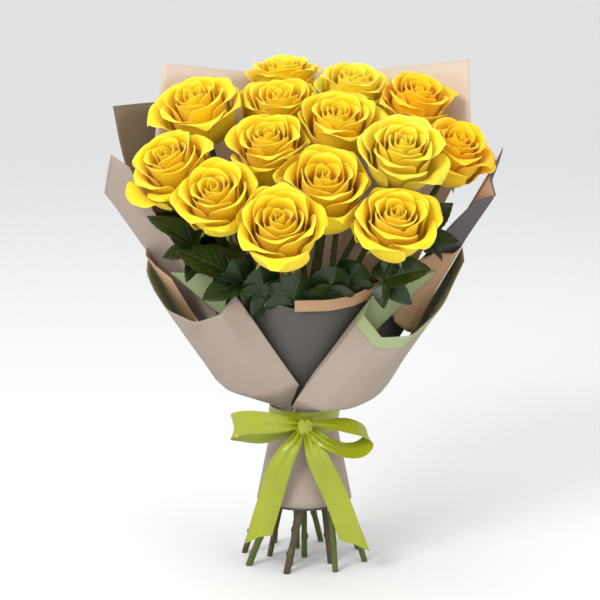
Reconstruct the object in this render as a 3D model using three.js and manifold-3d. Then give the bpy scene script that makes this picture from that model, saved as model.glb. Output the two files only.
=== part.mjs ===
// Hand-tied bouquet of fourteen roses in a florist's paper wrap, standing on its cut stem ends.
// Millimetres, +Z up, -Y is the front of the bouquet, Z = 0 is the plane of the cut stem ends.
import * as THREE from 'three';
import { mergeVertices } from 'three/addons/utils/BufferGeometryUtils.js';
import Module from 'manifold-3d';

const wasm = await Module();
wasm.setup();

// ---- driving dimensions ---------------------------------------------------
const TIE_Z = 158; // binding point above the cut ends
const STEM_RADIUS = 3.2;
const FRONT_STEM_RADIUS = 3.8;
const STEM_SIDES = 6;
const STEM_STEPS = 11;
const OUTER_RING = { count: 8, waist: 22, splay: 68, start: 10 };
const INNER_RING = { count: 5, waist: 11.5, splay: 38, start: 30 };
const SPLAY_DEPTH = 0.82; // the splay is shallower front to back than side to side
const BEND_START = 20; // the stems are straight to this height above the binding
const BEND_PULL = 0.9;
const STEM_UNDERCUT = 1.06; // the stems are drawn this share past the ground and cut level
const STEM_BEND_POINTS = 6;
const GROUND = { side: 400, depth: 60 };
const HEAD_DROP = 0.42; // calyx base below the middle of a bloom, as a share of its diameter
const HEAD_SEGMENTS = 12;
const CLEARANCE = 0.3; // gap left between pieces that touch
const STEM_GAP = 0.9; // from a stem's slightly slanted top to the calyx
const PAPER = 0.7;
const RIBBON = 0.9;
const RIBBON_WIDTH = 25;
const BAND = { radius: 36.6, bottom: 146, sides: 28 };
const COLLAR_Z = 173; // the paper turns outwards just above the ribbon
const FOOT_Z = 160; // lower edge of the wrap sheets, under the ribbon
const TAIL = { top: 156, bottom: 69, neck: 33.2, hemX: 50.5, hemY: 46.5, lining: 1.5, ripple: 0.015 };
const LEAF = {
  thickness: 0.9,
  steps: 5,
  cup: 4,
  edgeLift: 0.8,
  rootShare: 0.1,
  bladeShare: 0.86,
  fullness: 0.85,
};
const LINING_SETBACK = 3; // the tail's lining ends this much lower than the outer paper
const TAIL_RIPPLES = 5;
const TAIL_SIDES = 30;
const ROLL_SPLIT = 2; // extra divisions along the curled edges of the rolls
const SHEET_STOPS = [0, 0.08, 0.3, 1]; // where foot, collar, heel and rim lie up a sheet
const SHEET_ROWS = [0, 0.08, 0.3, 0.53, 0.76, 1]; // rows of facets up a sheet
// Room round the neck that is kept free for the ribbon.
const BINDING_ROOM = { inner: 36.2, outer: 90, bottom: 140, top: 171.6, sides: 48 };
const KNOT = { at: [0, -45, 158], size: [11, 7, 12], around: 10, up: 6 };
const LOOP = { endShare: 0.45, swell: 0.55, steps: 12 };
const HANGING = { topShare: 0.6, widening: 0.4, steps: 6 };
const MERGE_GAP = 1e-3;
const NORMAL_STEP = 1e-3;
const ROUGHNESS = { petal: 0.55, stem: 0.6, leaf: 0.5, paper: 0.85, satin: 0.35 };

// Bloom: middle point, sideways lean, rise of the axis over the horizon in degrees, diameter,
// and its stem's place in the bundle: outer ring, inner ring or centre, and number in the ring.
const BLOOMS = [
  { at: [-24, -104, 369], lean: -0.05, rise: 48, size: 86, ring: 'outer', place: 6 },
  { at: [90, -80, 372], lean: 0.08, rise: 50, size: 80, ring: 'outer', place: 7 },
  { at: [-87, -66, 395], lean: -0.15, rise: 50, size: 80, ring: 'outer', place: 4 },
  { at: [19, -46, 400], lean: 0.03, rise: 50, size: 96, ring: 'inner', place: 2 },
  { at: [-132, -18, 420], lean: -0.35, rise: 55, size: 82, ring: 'outer', place: 5 },
  { at: [98, -34, 436], lean: 0.1, rise: 52, size: 80, ring: 'centre', place: 0 },
  { at: [-35, -7, 437], lean: -0.1, rise: 58, size: 80, ring: 'outer', place: 2 },
  { at: [34, 19, 455], lean: 0.08, rise: 60, size: 84, ring: 'inner', place: 0 },
  { at: [152, 7, 432], lean: 0.3, rise: 60, size: 76, ring: 'outer', place: 0 },
  { at: [-109, 45, 469], lean: -0.25, rise: 62, size: 82, ring: 'outer', place: 3 },
  { at: [-26, 56, 468], lean: -0.05, rise: 66, size: 80, ring: 'inner', place: 1 },
  { at: [51, 80, 486], lean: 0.1, rise: 70, size: 76, ring: 'inner', place: 4 },
  { at: [117, 60, 476], lean: 0.2, rise: 66, size: 74, ring: 'outer', place: 1 },
  { at: [-21, 120, 491], lean: -0.03, rise: 80, size: 76, ring: 'inner', place: 3 },
];

// Bloom outline from the calyx to the tight centre: radius and height as shares of the diameter.
const BLOOM_OUTLINE = [
  [0, 0], [0.07, 0.01], [0.085, 0.08], [0.27, 0.2], [0.42, 0.42],
  [0.49, 0.62], [0.43, 0.7], [0.26, 0.76], [0.1, 0.82], [0, 0.83],
];

// Leaf: base, tip, width and the way its upper side faces.
const LEAVES = [
  { base: [-66, -46, 318], tip: [-122, -74, 350], width: 36, face: [0.2, -0.8, 0.9] },
  { base: [-54, -50, 306], tip: [-76, -64, 338], width: 30, face: [-0.1, -1, 0.5] },
  { base: [-36, -52, 300], tip: [-50, -66, 330], width: 34, face: [0.1, -1, 0.4] },
  { base: [30, -52, 298], tip: [28, -68, 334], width: 34, face: [0.1, -1, 0.4] },
  { base: [48, -48, 306], tip: [56, -62, 338], width: 30, face: [0, -1, 0.5] },
  { base: [82, -74, 314], tip: [120, -88, 336], width: 30, face: [-0.2, -0.8, 0.8] },
  { base: [-112, -44, 350], tip: [-152, -64, 382], width: 26, face: [0.6, -0.6, 0.8] },
  { base: [124, -36, 356], tip: [146, -46, 392], width: 24, face: [-0.4, -0.8, 0.6] },
  { base: [-90, -12, 352], tip: [-146, -24, 378], width: 26, face: [0.5, -0.5, 1] },
  { base: [-6, -56, 294], tip: [-8, -70, 326], width: 32, face: [0, -1, 0.4] },
];

// ---- finishes ---------------------------------------------------------------
function finish(colour, roughness) {
  return new THREE.MeshStandardMaterial({ color: colour, roughness: roughness, metalness: 0 });
}

const COLOUR = {
  petal: 0xf6cc18,
  greenStem: 0x566028,
  brownStem: 0x4a4026,
  leaf: 0x26380e,
  beige: 0xc4b098,
  darkPaper: 0x63605d,
  kraft: 0xaa7f5c,
  ribbon: 0xb9be2b,
};

const bouquet = new THREE.Group();

function addPiece(name, geometry, colour, roughness) {
  const mesh = new THREE.Mesh(geometry, finish(colour, roughness));
  mesh.name = name;
  bouquet.add(mesh);
  return mesh;
}

// ---- solids -------------------------------------------------------------------
function toSolid(geometry) {
  const bare = geometry.index ? geometry.toNonIndexed() : geometry.clone();
  bare.deleteAttribute('normal');
  bare.deleteAttribute('uv');
  const merged = mergeVertices(bare, MERGE_GAP);
  return new wasm.Manifold(new wasm.Mesh({
    numProp: 3,
    vertProperties: new Float32Array(merged.attributes.position.array),
    triVerts: new Uint32Array(merged.index.array),
  }));
}

function fromSolid(solid) {
  const mesh = solid.getMesh();
  const geometry = new THREE.BufferGeometry();
  geometry.setAttribute('position', new THREE.BufferAttribute(mesh.vertProperties, 3));
  geometry.setIndex(new THREE.BufferAttribute(mesh.triVerts, 1));
  return geometry;
}

// A thin closed plate through a grid of points, thickened along the surface normals.
function plate(pointAt, across, along, thickness, ring = false) {
  const columns = ring ? across : across + 1;
  const positions = [];
  const slide = (value) => (ring ? value : Math.min(1, Math.max(0, value)));
  for (const side of [0.5, -0.5]) {
    for (let i = 0; i < columns; i += 1) {
      for (let j = 0; j <= along; j += 1) {
        const u = i / across;
        const v = j / along;
        const du = pointAt(slide(u + NORMAL_STEP), v).sub(pointAt(slide(u - NORMAL_STEP), v));
        const dv = pointAt(u, Math.min(1, v + NORMAL_STEP)).sub(pointAt(u, Math.max(0, v - NORMAL_STEP)));
        const normal = du.cross(dv).normalize();
        const point = pointAt(u, v).addScaledVector(normal, side * thickness);
        positions.push(point.x, point.y, point.z);
      }
    }
  }
  const layer = columns * (along + 1);
  const corner = (i, j, side) => side * layer + (i % columns) * (along + 1) + j;
  const faces = [];
  const quad = (a, b, c, d) => faces.push(a, b, c, a, c, d);
  for (let i = 0; i < across; i += 1) {
    for (let j = 0; j < along; j += 1) {
      quad(corner(i, j, 0), corner(i + 1, j, 0), corner(i + 1, j + 1, 0), corner(i, j + 1, 0));
      quad(corner(i, j, 1), corner(i, j + 1, 1), corner(i + 1, j + 1, 1), corner(i + 1, j, 1));
    }
    quad(corner(i, 0, 1), corner(i + 1, 0, 1), corner(i + 1, 0, 0), corner(i, 0, 0));
    quad(corner(i, along, 0), corner(i + 1, along, 0), corner(i + 1, along, 1), corner(i, along, 1));
  }
  if (!ring) {
    for (let j = 0; j < along; j += 1) {
      quad(corner(0, j, 0), corner(0, j + 1, 0), corner(0, j + 1, 1), corner(0, j, 1));
      quad(corner(across, j, 1), corner(across, j + 1, 1), corner(across, j + 1, 0), corner(across, j, 0));
    }
  }
  const geometry = new THREE.BufferGeometry();
  geometry.setAttribute('position', new THREE.Float32BufferAttribute(positions, 3));
  geometry.setIndex(faces);
  return geometry;
}

const vector = (p) => new THREE.Vector3(p[0], p[1], p[2]);

function ellipsePoint(degrees, radiusX, radiusY, z) {
  const angle = THREE.MathUtils.degToRad(degrees);
  return new THREE.Vector3(radiusX * Math.cos(angle), radiusY * Math.sin(angle), z);
}

// ---- stems and blooms -----------------------------------------------------------
function bloomAxis(bloom) {
  const rise = THREE.MathUtils.degToRad(bloom.rise);
  return new THREE.Vector3(bloom.lean, -Math.cos(rise), Math.sin(rise)).normalize();
}

function bloomBase(bloom) {
  return vector(bloom.at).addScaledVector(bloomAxis(bloom), -HEAD_DROP * bloom.size);
}

// A straight stem of the spiral bundle, at a height over the binding point.
function spiralPoint(bloom, height) {
  if (bloom.ring === 'centre') {
    return new THREE.Vector3(0, 0, TIE_Z + height);
  }
  const ring = bloom.ring === 'outer' ? OUTER_RING : INNER_RING;
  const slope = Math.sqrt(ring.splay ** 2 - ring.waist ** 2) / TIE_Z;
  const angle = THREE.MathUtils.degToRad(ring.start + (bloom.place * 360) / ring.count);
  const x = ring.waist * Math.cos(angle) - slope * height * Math.sin(angle);
  const y = ring.waist * Math.sin(angle) + slope * height * Math.cos(angle);
  const depth = 1 - (1 - SPLAY_DEPTH) * THREE.MathUtils.clamp(-height / TIE_Z, 0, 1);
  return new THREE.Vector3(x, y * depth, TIE_Z + height);
}

function stemCurve(bloom) {
  const lower = new THREE.LineCurve3(spiralPoint(bloom, -TIE_Z * STEM_UNDERCUT), spiralPoint(bloom, 0));
  const start = spiralPoint(bloom, BEND_START);
  const end = bloomBase(bloom).addScaledVector(bloomAxis(bloom), -STEM_GAP);
  const reach = start.distanceTo(end) * BEND_PULL / 3;
  const along = spiralPoint(bloom, BEND_START + 1).sub(start).normalize();
  const bend = new THREE.CubicBezierCurve3(
    start,
    start.clone().addScaledVector(along, reach),
    end.clone().addScaledVector(bloomAxis(bloom), -reach),
    end,
  );
  const points = [lower.getPoint(0), lower.getPoint(0.34), lower.getPoint(0.67), lower.getPoint(1)];
  for (let i = 0; i <= STEM_BEND_POINTS; i += 1) {
    points.push(bend.getPoint(i / STEM_BEND_POINTS));
  }
  return new THREE.CatmullRomCurve3(points, false, 'centripetal');
}

function stemSection(radius) {
  const shape = new THREE.Shape();
  for (let i = 0; i < STEM_SIDES; i += 1) {
    const angle = (i * 2 * Math.PI) / STEM_SIDES;
    if (i === 0) {
      shape.moveTo(radius, 0);
    } else {
      shape.lineTo(radius * Math.cos(angle), radius * Math.sin(angle));
    }
  }
  shape.closePath();
  return shape;
}

const groundHalf = new THREE.BoxGeometry(GROUND.side, GROUND.side, GROUND.depth);
groundHalf.translate(0, 0, -GROUND.depth / 2);
const belowFloor = toSolid(groundHalf);

BLOOMS.forEach((bloom, index) => {
  const number = String(index + 1).padStart(2, '0');
  const atFront = bloom.place === 6 || bloom.place === 7;
  const radius = bloom.ring === 'outer' && atFront ? FRONT_STEM_RADIUS : STEM_RADIUS;
  const tube = new THREE.ExtrudeGeometry(stemSection(radius), {
    steps: STEM_STEPS,
    extrudePath: stemCurve(bloom),
    bevelEnabled: false,
  });
  const level = toSolid(tube).subtract(belowFloor);
  const colour = index % 3 === 1 ? COLOUR.brownStem : COLOUR.greenStem;
  addPiece(`rose_stem_${number}`, fromSolid(level), colour, ROUGHNESS.stem);
});

// Neighbouring blooms press against each other, so each later one gives way to the earlier ones.
const placedBlooms = [];
BLOOMS.forEach((bloom, index) => {
  const number = String(index + 1).padStart(2, '0');
  const outline = BLOOM_OUTLINE.map((p) => new THREE.Vector2(p[0] * bloom.size, p[1] * bloom.size));
  const turned = new THREE.LatheGeometry(outline, HEAD_SEGMENTS);
  turned.applyQuaternion(
    new THREE.Quaternion().setFromUnitVectors(new THREE.Vector3(0, 1, 0), bloomAxis(bloom)),
  );
  const base = bloomBase(bloom);
  turned.translate(base.x, base.y, base.z);
  let solid = toSolid(turned);
  const middle = vector(bloom.at);
  const grow = 1 + (2 * CLEARANCE) / bloom.size;
  for (const other of placedBlooms) {
    const near = other.middle.distanceTo(middle) < (other.size + bloom.size) / 2;
    if (near) {
      const grown = other.solid
        .translate([-other.middle.x, -other.middle.y, -other.middle.z])
        .scale([grow, grow, grow])
        .translate([other.middle.x, other.middle.y, other.middle.z]);
      solid = solid.subtract(grown);
    }
  }
  placedBlooms.push({ solid: solid, middle: middle, size: bloom.size });
  addPiece(`rose_head_${number}`, fromSolid(solid), COLOUR.petal, ROUGHNESS.petal);
});

// ---- leaves -----------------------------------------------------------------------
LEAVES.forEach((leaf, index) => {
  const base = vector(leaf.base);
  const tip = vector(leaf.tip);
  const forward = tip.clone().sub(base);
  const side = forward.clone().cross(vector(leaf.face)).normalize();
  const up = side.clone().cross(forward).normalize();
  const blade = (u, v) => {
    const fill = (LEAF.rootShare + LEAF.bladeShare * v) ** LEAF.fullness;
    const spread = Math.sin(Math.PI * fill) * leaf.width / 2;
    const offset = (u - 0.5) * 2;
    return base.clone()
      .addScaledVector(forward, v)
      .addScaledVector(side, offset * spread)
      .addScaledVector(up, LEAF.cup * (Math.sin(Math.PI * v) + offset * offset * LEAF.edgeLift));
  };
  const number = String(index + 1).padStart(2, '0');
  addPiece(`leaf_${number}`, plate(blade, 2, LEAF.steps, LEAF.thickness), COLOUR.leaf, ROUGHNESS.leaf);
});

// ---- paper wrap ---------------------------------------------------------------------
// A sheet runs from its foot under the ribbon up to the collar, out over a heel and on to its rim.
// Each of the four stations is a polyline across the sheet, from one side edge to the other.
function sampleLine(points, u) {
  const scaled = THREE.MathUtils.clamp(u, 0, 1) * (points.length - 1);
  const index = Math.min(points.length - 2, Math.floor(scaled));
  return points[index].clone().lerp(points[index + 1], scaled - index);
}

function wrapSheet(sheet) {
  const stations = [sheet.foot, sheet.collar, sheet.heel, sheet.rim];
  const pointAt = (u, v) => {
    let index = 0;
    while (index < 2 && v > SHEET_STOPS[index + 1]) {
      index += 1;
    }
    const share = (v - SHEET_STOPS[index]) / (SHEET_STOPS[index + 1] - SHEET_STOPS[index]);
    return sampleLine(stations[index], u).lerp(sampleLine(stations[index + 1], u), share);
  };
  const snapped = (u, v) => {
    const place = v * (SHEET_ROWS.length - 1);
    const low = Math.min(SHEET_ROWS.length - 2, Math.floor(place));
    return pointAt(u, SHEET_ROWS[low] + (SHEET_ROWS[low + 1] - SHEET_ROWS[low]) * (place - low));
  };
  return plate(snapped, sheet.rim.length - 1, SHEET_ROWS.length - 1, PAPER);
}

// Evenly spread points of an ellipse between two headings, for the foot, collar and heel.
function arc(count, from, to, radiusX, radiusY, z) {
  const points = [];
  for (let i = 0; i < count; i += 1) {
    points.push(ellipsePoint(from + ((to - from) * i) / (count - 1), radiusX, radiusY, z));
  }
  return points;
}

// The same polyline with every segment divided into equal parts.
function densify(points, parts) {
  const dense = [];
  for (let i = 0; i <= (points.length - 1) * parts; i += 1) {
    dense.push(sampleLine(points, i / ((points.length - 1) * parts)));
  }
  return dense;
}

function coneSheet(name, spec) {
  const count = spec.rim.length;
  const sheet = wrapSheet({
    foot: arc(count, spec.from, spec.to, spec.neck, spec.neck, FOOT_Z),
    collar: arc(count, spec.from, spec.to, spec.neck, spec.neck, COLLAR_Z),
    heel: arc(count, spec.from, spec.to, spec.heel[0], spec.heel[1], spec.heel[2]),
    rim: spec.rim.map(vector),
  });
  addPiece(name, sheet, spec.colour, ROUGHNESS.paper);
}

coneSheet('wrap_back_sheet', {
  colour: COLOUR.beige,
  neck: 30.6,
  heel: [71, 52, 216],
  from: 10,
  to: 170,
  rim: [
    [176, 50, 436], [177, 95, 527], [133, 124, 518], [86, 148, 511], [40, 164, 506],
    [0, 170, 505], [-40, 164, 506], [-66, 144, 508], [-108, 120, 515], [-152, 97, 522],
    [-160, 52, 428],
  ],
});

coneSheet('wrap_back_dark_sheet', {
  colour: COLOUR.darkPaper,
  neck: 32,
  heel: [75, 57, 213],
  from: 100,
  to: 184,
  rim: [
    [-40, 176, 470], [-90, 150, 476], [-156, 108, 480],
    [-204, 76, 478], [-192, 50, 424], [-176, 22, 372],
  ],
});

coneSheet('wrap_left_wing', {
  colour: COLOUR.beige,
  neck: 33.2,
  heel: [80, 62, 210],
  from: 148,
  to: 222,
  rim: [
    [-192, 74, 378], [-206, 46, 388], [-210, 16, 394], [-200, -8, 438],
    [-180, -18, 426], [-158, -26, 386], [-134, -28, 348], [-108, -24, 312],
  ],
});

coneSheet('wrap_right_wing', {
  colour: COLOUR.darkPaper,
  neck: 33.2,
  heel: [78, 60, 210],
  from: 32,
  to: -42,
  rim: [
    [192, 74, 376], [202, 46, 410], [206, 14, 442], [192, -4, 416],
    [198, -8, 396], [176, -15, 390], [152, -23, 368], [128, -27, 340], [104, -22, 314],
  ],
});

coneSheet('wrap_front_panel', {
  colour: COLOUR.darkPaper,
  neck: 32,
  heel: [62, 46, 202],
  from: 226,
  to: 314,
  rim: [
    [-104, -14, 300], [-88, -26, 302], [-62, -44, 300], [-32, -61, 292], [-3, -67, 286],
    [26, -63, 286], [54, -50, 290], [80, -32, 298], [98, -14, 302],
  ],
});

// The two front rolls: the outer paper comes round from the side to a free edge at the front,
// and turns back inside on itself along that edge.
function rollStation(outer, inner) {
  const turn = densify([outer[outer.length - 1], ...inner.map(vector)], ROLL_SPLIT);
  return [...outer, ...turn.slice(1)];
}

function rollArc(from, to, radius, z) {
  return arc(6 * ROLL_SPLIT + 1, from, to, radius, radius, z);
}

function frontRoll(name, spec) {
  const heel = densify(spec.heel.map(vector), ROLL_SPLIT);
  const rim = densify(spec.rim.map(vector), ROLL_SPLIT);
  const sheet = wrapSheet({
    foot: rollStation(rollArc(spec.from, spec.to, spec.neck, FOOT_Z), spec.turnFoot),
    collar: rollStation(rollArc(spec.from, spec.to, spec.neck, COLLAR_Z), spec.turnCollar),
    heel: rollStation(heel, spec.turnHeel),
    rim: rollStation(rim, spec.turnRim),
  });
  addPiece(name, fromSolid(toSolid(sheet).subtract(bindingRoom)), COLOUR.beige, ROUGHNESS.paper);
}

const roomOutline = [
  new THREE.Vector2(BINDING_ROOM.inner, BINDING_ROOM.bottom),
  new THREE.Vector2(BINDING_ROOM.outer, BINDING_ROOM.bottom),
  new THREE.Vector2(BINDING_ROOM.outer, BINDING_ROOM.top),
  new THREE.Vector2(BINDING_ROOM.inner, BINDING_ROOM.top),
  new THREE.Vector2(BINDING_ROOM.inner, BINDING_ROOM.bottom),
];
const bindingRing = new THREE.LatheGeometry(roomOutline, BINDING_ROOM.sides);
bindingRing.rotateX(Math.PI / 2);
const bindingRoom = toSolid(bindingRing);

frontRoll('wrap_left_roll', {
  neck: 34.4,
  from: 164,
  to: 243,
  heel: [
    [-95, 16, 208], [-95, -14, 205], [-91, -30, 201], [-78, -46, 196],
    [-56, -57, 193], [-32, -60, 197], [-6, -61, 207],
  ],
  rim: [
    [-165, 18, 324], [-164, -16, 315], [-155, -40, 302], [-140, -62, 286],
    [-110, -84, 277], [-84, -83, 286], [-71, -68, 304],
  ],
  turnFoot: [[-12, -56, 212], [-22, -56, 226], [-46, -50, 242]],
  turnCollar: [[-12.4, -56.5, 215], [-23, -56.5, 229], [-48, -50, 245]],
  turnHeel: [[-18, -60, 224], [-34, -58, 240], [-62, -50, 258]],
  turnRim: [[-79, -53, 314], [-106, -45, 321], [-138, -38, 320]],
});

frontRoll('wrap_right_roll', {
  neck: 35.5,
  from: 16,
  to: -114,
  heel: [
    [92, 16, 207], [90, -14, 203], [86, -32, 197], [70, -52, 188],
    [46, -64, 181], [18, -70, 181], [-8, -72, 194],
  ],
  rim: [
    [166, 18, 336], [165, -16, 328], [155, -40, 314], [140, -64, 288],
    [108, -86, 264], [78, -84, 262], [60, -68, 282],
  ],
  turnFoot: [[2, -60, 206], [16, -58, 218], [42, -52, 234]],
  turnCollar: [[2.4, -60.5, 209], [17, -58.5, 221], [44, -52, 237]],
  turnHeel: [[8, -64, 218], [26, -60, 230], [58, -50, 246]],
  turnRim: [[68, -54, 298], [98, -46, 314], [136, -38, 322]],
});

// Kraft strips: one lies along the top of the front panel and runs down into the right roll,
// the other lines the left roll beside the wing.
function kraftStrip(name, spec) {
  const top = spec.top.map(vector);
  const bottom = spec.bottom.map(vector);
  const sheet = plate(
    (u, v) => sampleLine(bottom, u).lerp(sampleLine(top, u), v),
    (top.length - 1) * spec.split,
    spec.rows,
    PAPER,
  );
  addPiece(name, sheet, COLOUR.kraft, ROUGHNESS.paper);
}

kraftStrip('wrap_folded_edge', {
  split: 2,
  rows: 2,
  top: [
    [-10, -74, 298], [26, -70, 298], [52, -57.5, 301], [80, -42, 313],
    [108, -37, 329], [134, -36, 340], [154, -38, 340], [163, -12, 342], [172, 24, 346],
  ],
  bottom: [
    [-10, -72, 286], [26, -68, 286], [52, -55.5, 289], [80, -38, 299],
    [94, -41, 268], [106, -38, 258], [114, -30, 254], [112, -10, 252], [110, 24, 252],
  ],
});

kraftStrip('wrap_left_kraft_strip', {
  split: 2,
  rows: 2,
  top: [[-166, 12, 336], [-165, -12, 333], [-153, -36, 326], [-136, -50, 316]],
  bottom: [[-116, 14, 250], [-114, -10, 248], [-104, -31, 244], [-90, -47, 238]],
});

// The tail of the wrap below the binding: two layers round the stems, open at the bottom.
function tailLayer(inset, bottom, wave) {
  return (u, v) => {
    const radiusX = THREE.MathUtils.lerp(TAIL.neck, TAIL.hemX, v) - inset;
    const radiusY = THREE.MathUtils.lerp(TAIL.neck, TAIL.hemY, v) - inset;
    const ripple = 1 + wave * v * Math.sin(u * 2 * TAIL_RIPPLES * Math.PI);
    const z = THREE.MathUtils.lerp(TAIL.top, bottom, v);
    return ellipsePoint(-u * 360, radiusX * ripple, radiusY * ripple, z);
  };
}
const tailOutside = plate(tailLayer(0, TAIL.bottom, TAIL.ripple), TAIL_SIDES, 3, PAPER, true);
addPiece('wrap_tail', tailOutside, COLOUR.beige, ROUGHNESS.paper);
const liningLayer = tailLayer(TAIL.lining, TAIL.bottom - LINING_SETBACK, TAIL.ripple);
const tailInside = plate(liningLayer, TAIL_SIDES, 3, PAPER, true);
addPiece('wrap_tail_lining', tailInside, COLOUR.darkPaper, ROUGHNESS.paper);

// ---- ribbon ---------------------------------------------------------------------------
const bandTop = BAND.bottom + RIBBON_WIDTH;
addPiece('ribbon_band', plate((u, v) => (
  ellipsePoint(-u * 360, BAND.radius + RIBBON / 2, BAND.radius + RIBBON / 2, bandTop - RIBBON_WIDTH * v)
), BAND.sides, 1, RIBBON, true), COLOUR.ribbon, ROUGHNESS.satin);

const knot = new THREE.SphereGeometry(1, KNOT.around, KNOT.up);
knot.scale(KNOT.size[0], KNOT.size[1], KNOT.size[2]);
knot.translate(KNOT.at[0], KNOT.at[1], KNOT.at[2]);
addPiece('ribbon_knot', fromSolid(toSolid(knot)), COLOUR.ribbon, ROUGHNESS.satin);

// A strip of ribbon along a path, its width held along a given direction.
function strip(name, path, widthAt, steps) {
  const curve = new THREE.CatmullRomCurve3(path.map(vector), false, 'centripetal');
  const pointAt = (u, v) => curve.getPoint(v).addScaledVector(widthAt(v), u - 0.5);
  addPiece(name, plate(pointAt, 1, steps, RIBBON), COLOUR.ribbon, ROUGHNESS.satin);
}

function loopWidth(v) {
  const width = RIBBON_WIDTH * (LOOP.endShare + LOOP.swell * Math.sin(Math.PI * v));
  return new THREE.Vector3(0, -0.35, 0.94).multiplyScalar(width);
}

for (const side of [-1, 1]) {
  const name = side < 0 ? 'left' : 'right';
  strip(`ribbon_loop_${name}`, [
    [side * 12, -48, 162], [side * 34, -58, 168], [side * 58, -62, 166],
    [side * 71, -56, 158], [side * 58, -46, 152], [side * 34, -43, 150], [side * 13, -42.5, 153],
  ], loopWidth, LOOP.steps);
}

function hangingWidth(v) {
  return new THREE.Vector3(RIBBON_WIDTH * (HANGING.topShare + HANGING.widening * v), 0, 0);
}


strip('ribbon_tail_left', [
  [-6, -54, 148], [-14, -54, 126], [-26, -54, 96], [-36, -55, 68], [-44, -56, 40],
], hangingWidth, HANGING.steps);
strip('ribbon_tail_right', [
  [12, -53, 148], [20, -54, 124], [32, -54, 92], [44, -55, 60], [56, -56, 30],
], hangingWidth, HANGING.steps);

// The origin is the middle of the bouquet's outline, on the plane of the cut ends.
const extent = new THREE.Box3().setFromObject(bouquet);
bouquet.position.set(-(extent.min.x + extent.max.x) / 2, -(extent.min.y + extent.max.y) / 2, 0);

export default bouquet;
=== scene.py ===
"""A hand-tied bouquet of yellow roses in a florist's paper wrap, tied with a satin ribbon.

Lengths are metres in the frame of the solid model: +Z is up and -Y is the front of the bouquet.
"""
import logging
import math
from dataclasses import dataclass, field
from enum import Enum
from typing import Iterable, Sequence

import bmesh
import bpy
import numpy as np
from mathutils import Matrix, Vector, noise


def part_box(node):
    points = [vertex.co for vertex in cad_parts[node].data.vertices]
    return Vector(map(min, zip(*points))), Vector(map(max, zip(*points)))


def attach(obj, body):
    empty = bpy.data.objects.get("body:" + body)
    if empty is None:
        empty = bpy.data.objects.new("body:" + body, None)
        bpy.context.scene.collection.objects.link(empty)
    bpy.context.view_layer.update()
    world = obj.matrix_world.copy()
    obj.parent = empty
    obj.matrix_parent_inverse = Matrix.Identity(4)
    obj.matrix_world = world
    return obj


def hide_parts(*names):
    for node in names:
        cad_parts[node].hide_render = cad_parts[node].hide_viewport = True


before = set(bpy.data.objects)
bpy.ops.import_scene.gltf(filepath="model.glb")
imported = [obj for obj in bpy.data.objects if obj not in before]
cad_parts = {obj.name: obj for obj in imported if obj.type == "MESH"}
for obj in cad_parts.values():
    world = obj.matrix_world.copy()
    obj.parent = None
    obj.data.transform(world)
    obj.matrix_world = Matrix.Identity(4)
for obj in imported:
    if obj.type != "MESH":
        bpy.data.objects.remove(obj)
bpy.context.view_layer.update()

BODY = "root"
LOG = logging.getLogger("bouquet")
MM = 0.001
GOLDEN_ANGLE = math.radians(137.508)
SEAM_GAP = 1e-5
VEIN_PITCH = 58.0
UPRIGHT = Vector((0.0, 0.0, 1.0))
BAND_LOW, BAND_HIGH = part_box("ribbon_band")
CENTRE = Vector([(low + high) / 2 for low, high in zip(BAND_LOW, BAND_HIGH)])
COLLAR_Z = BAND_HIGH[2] + 2 * MM


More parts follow.
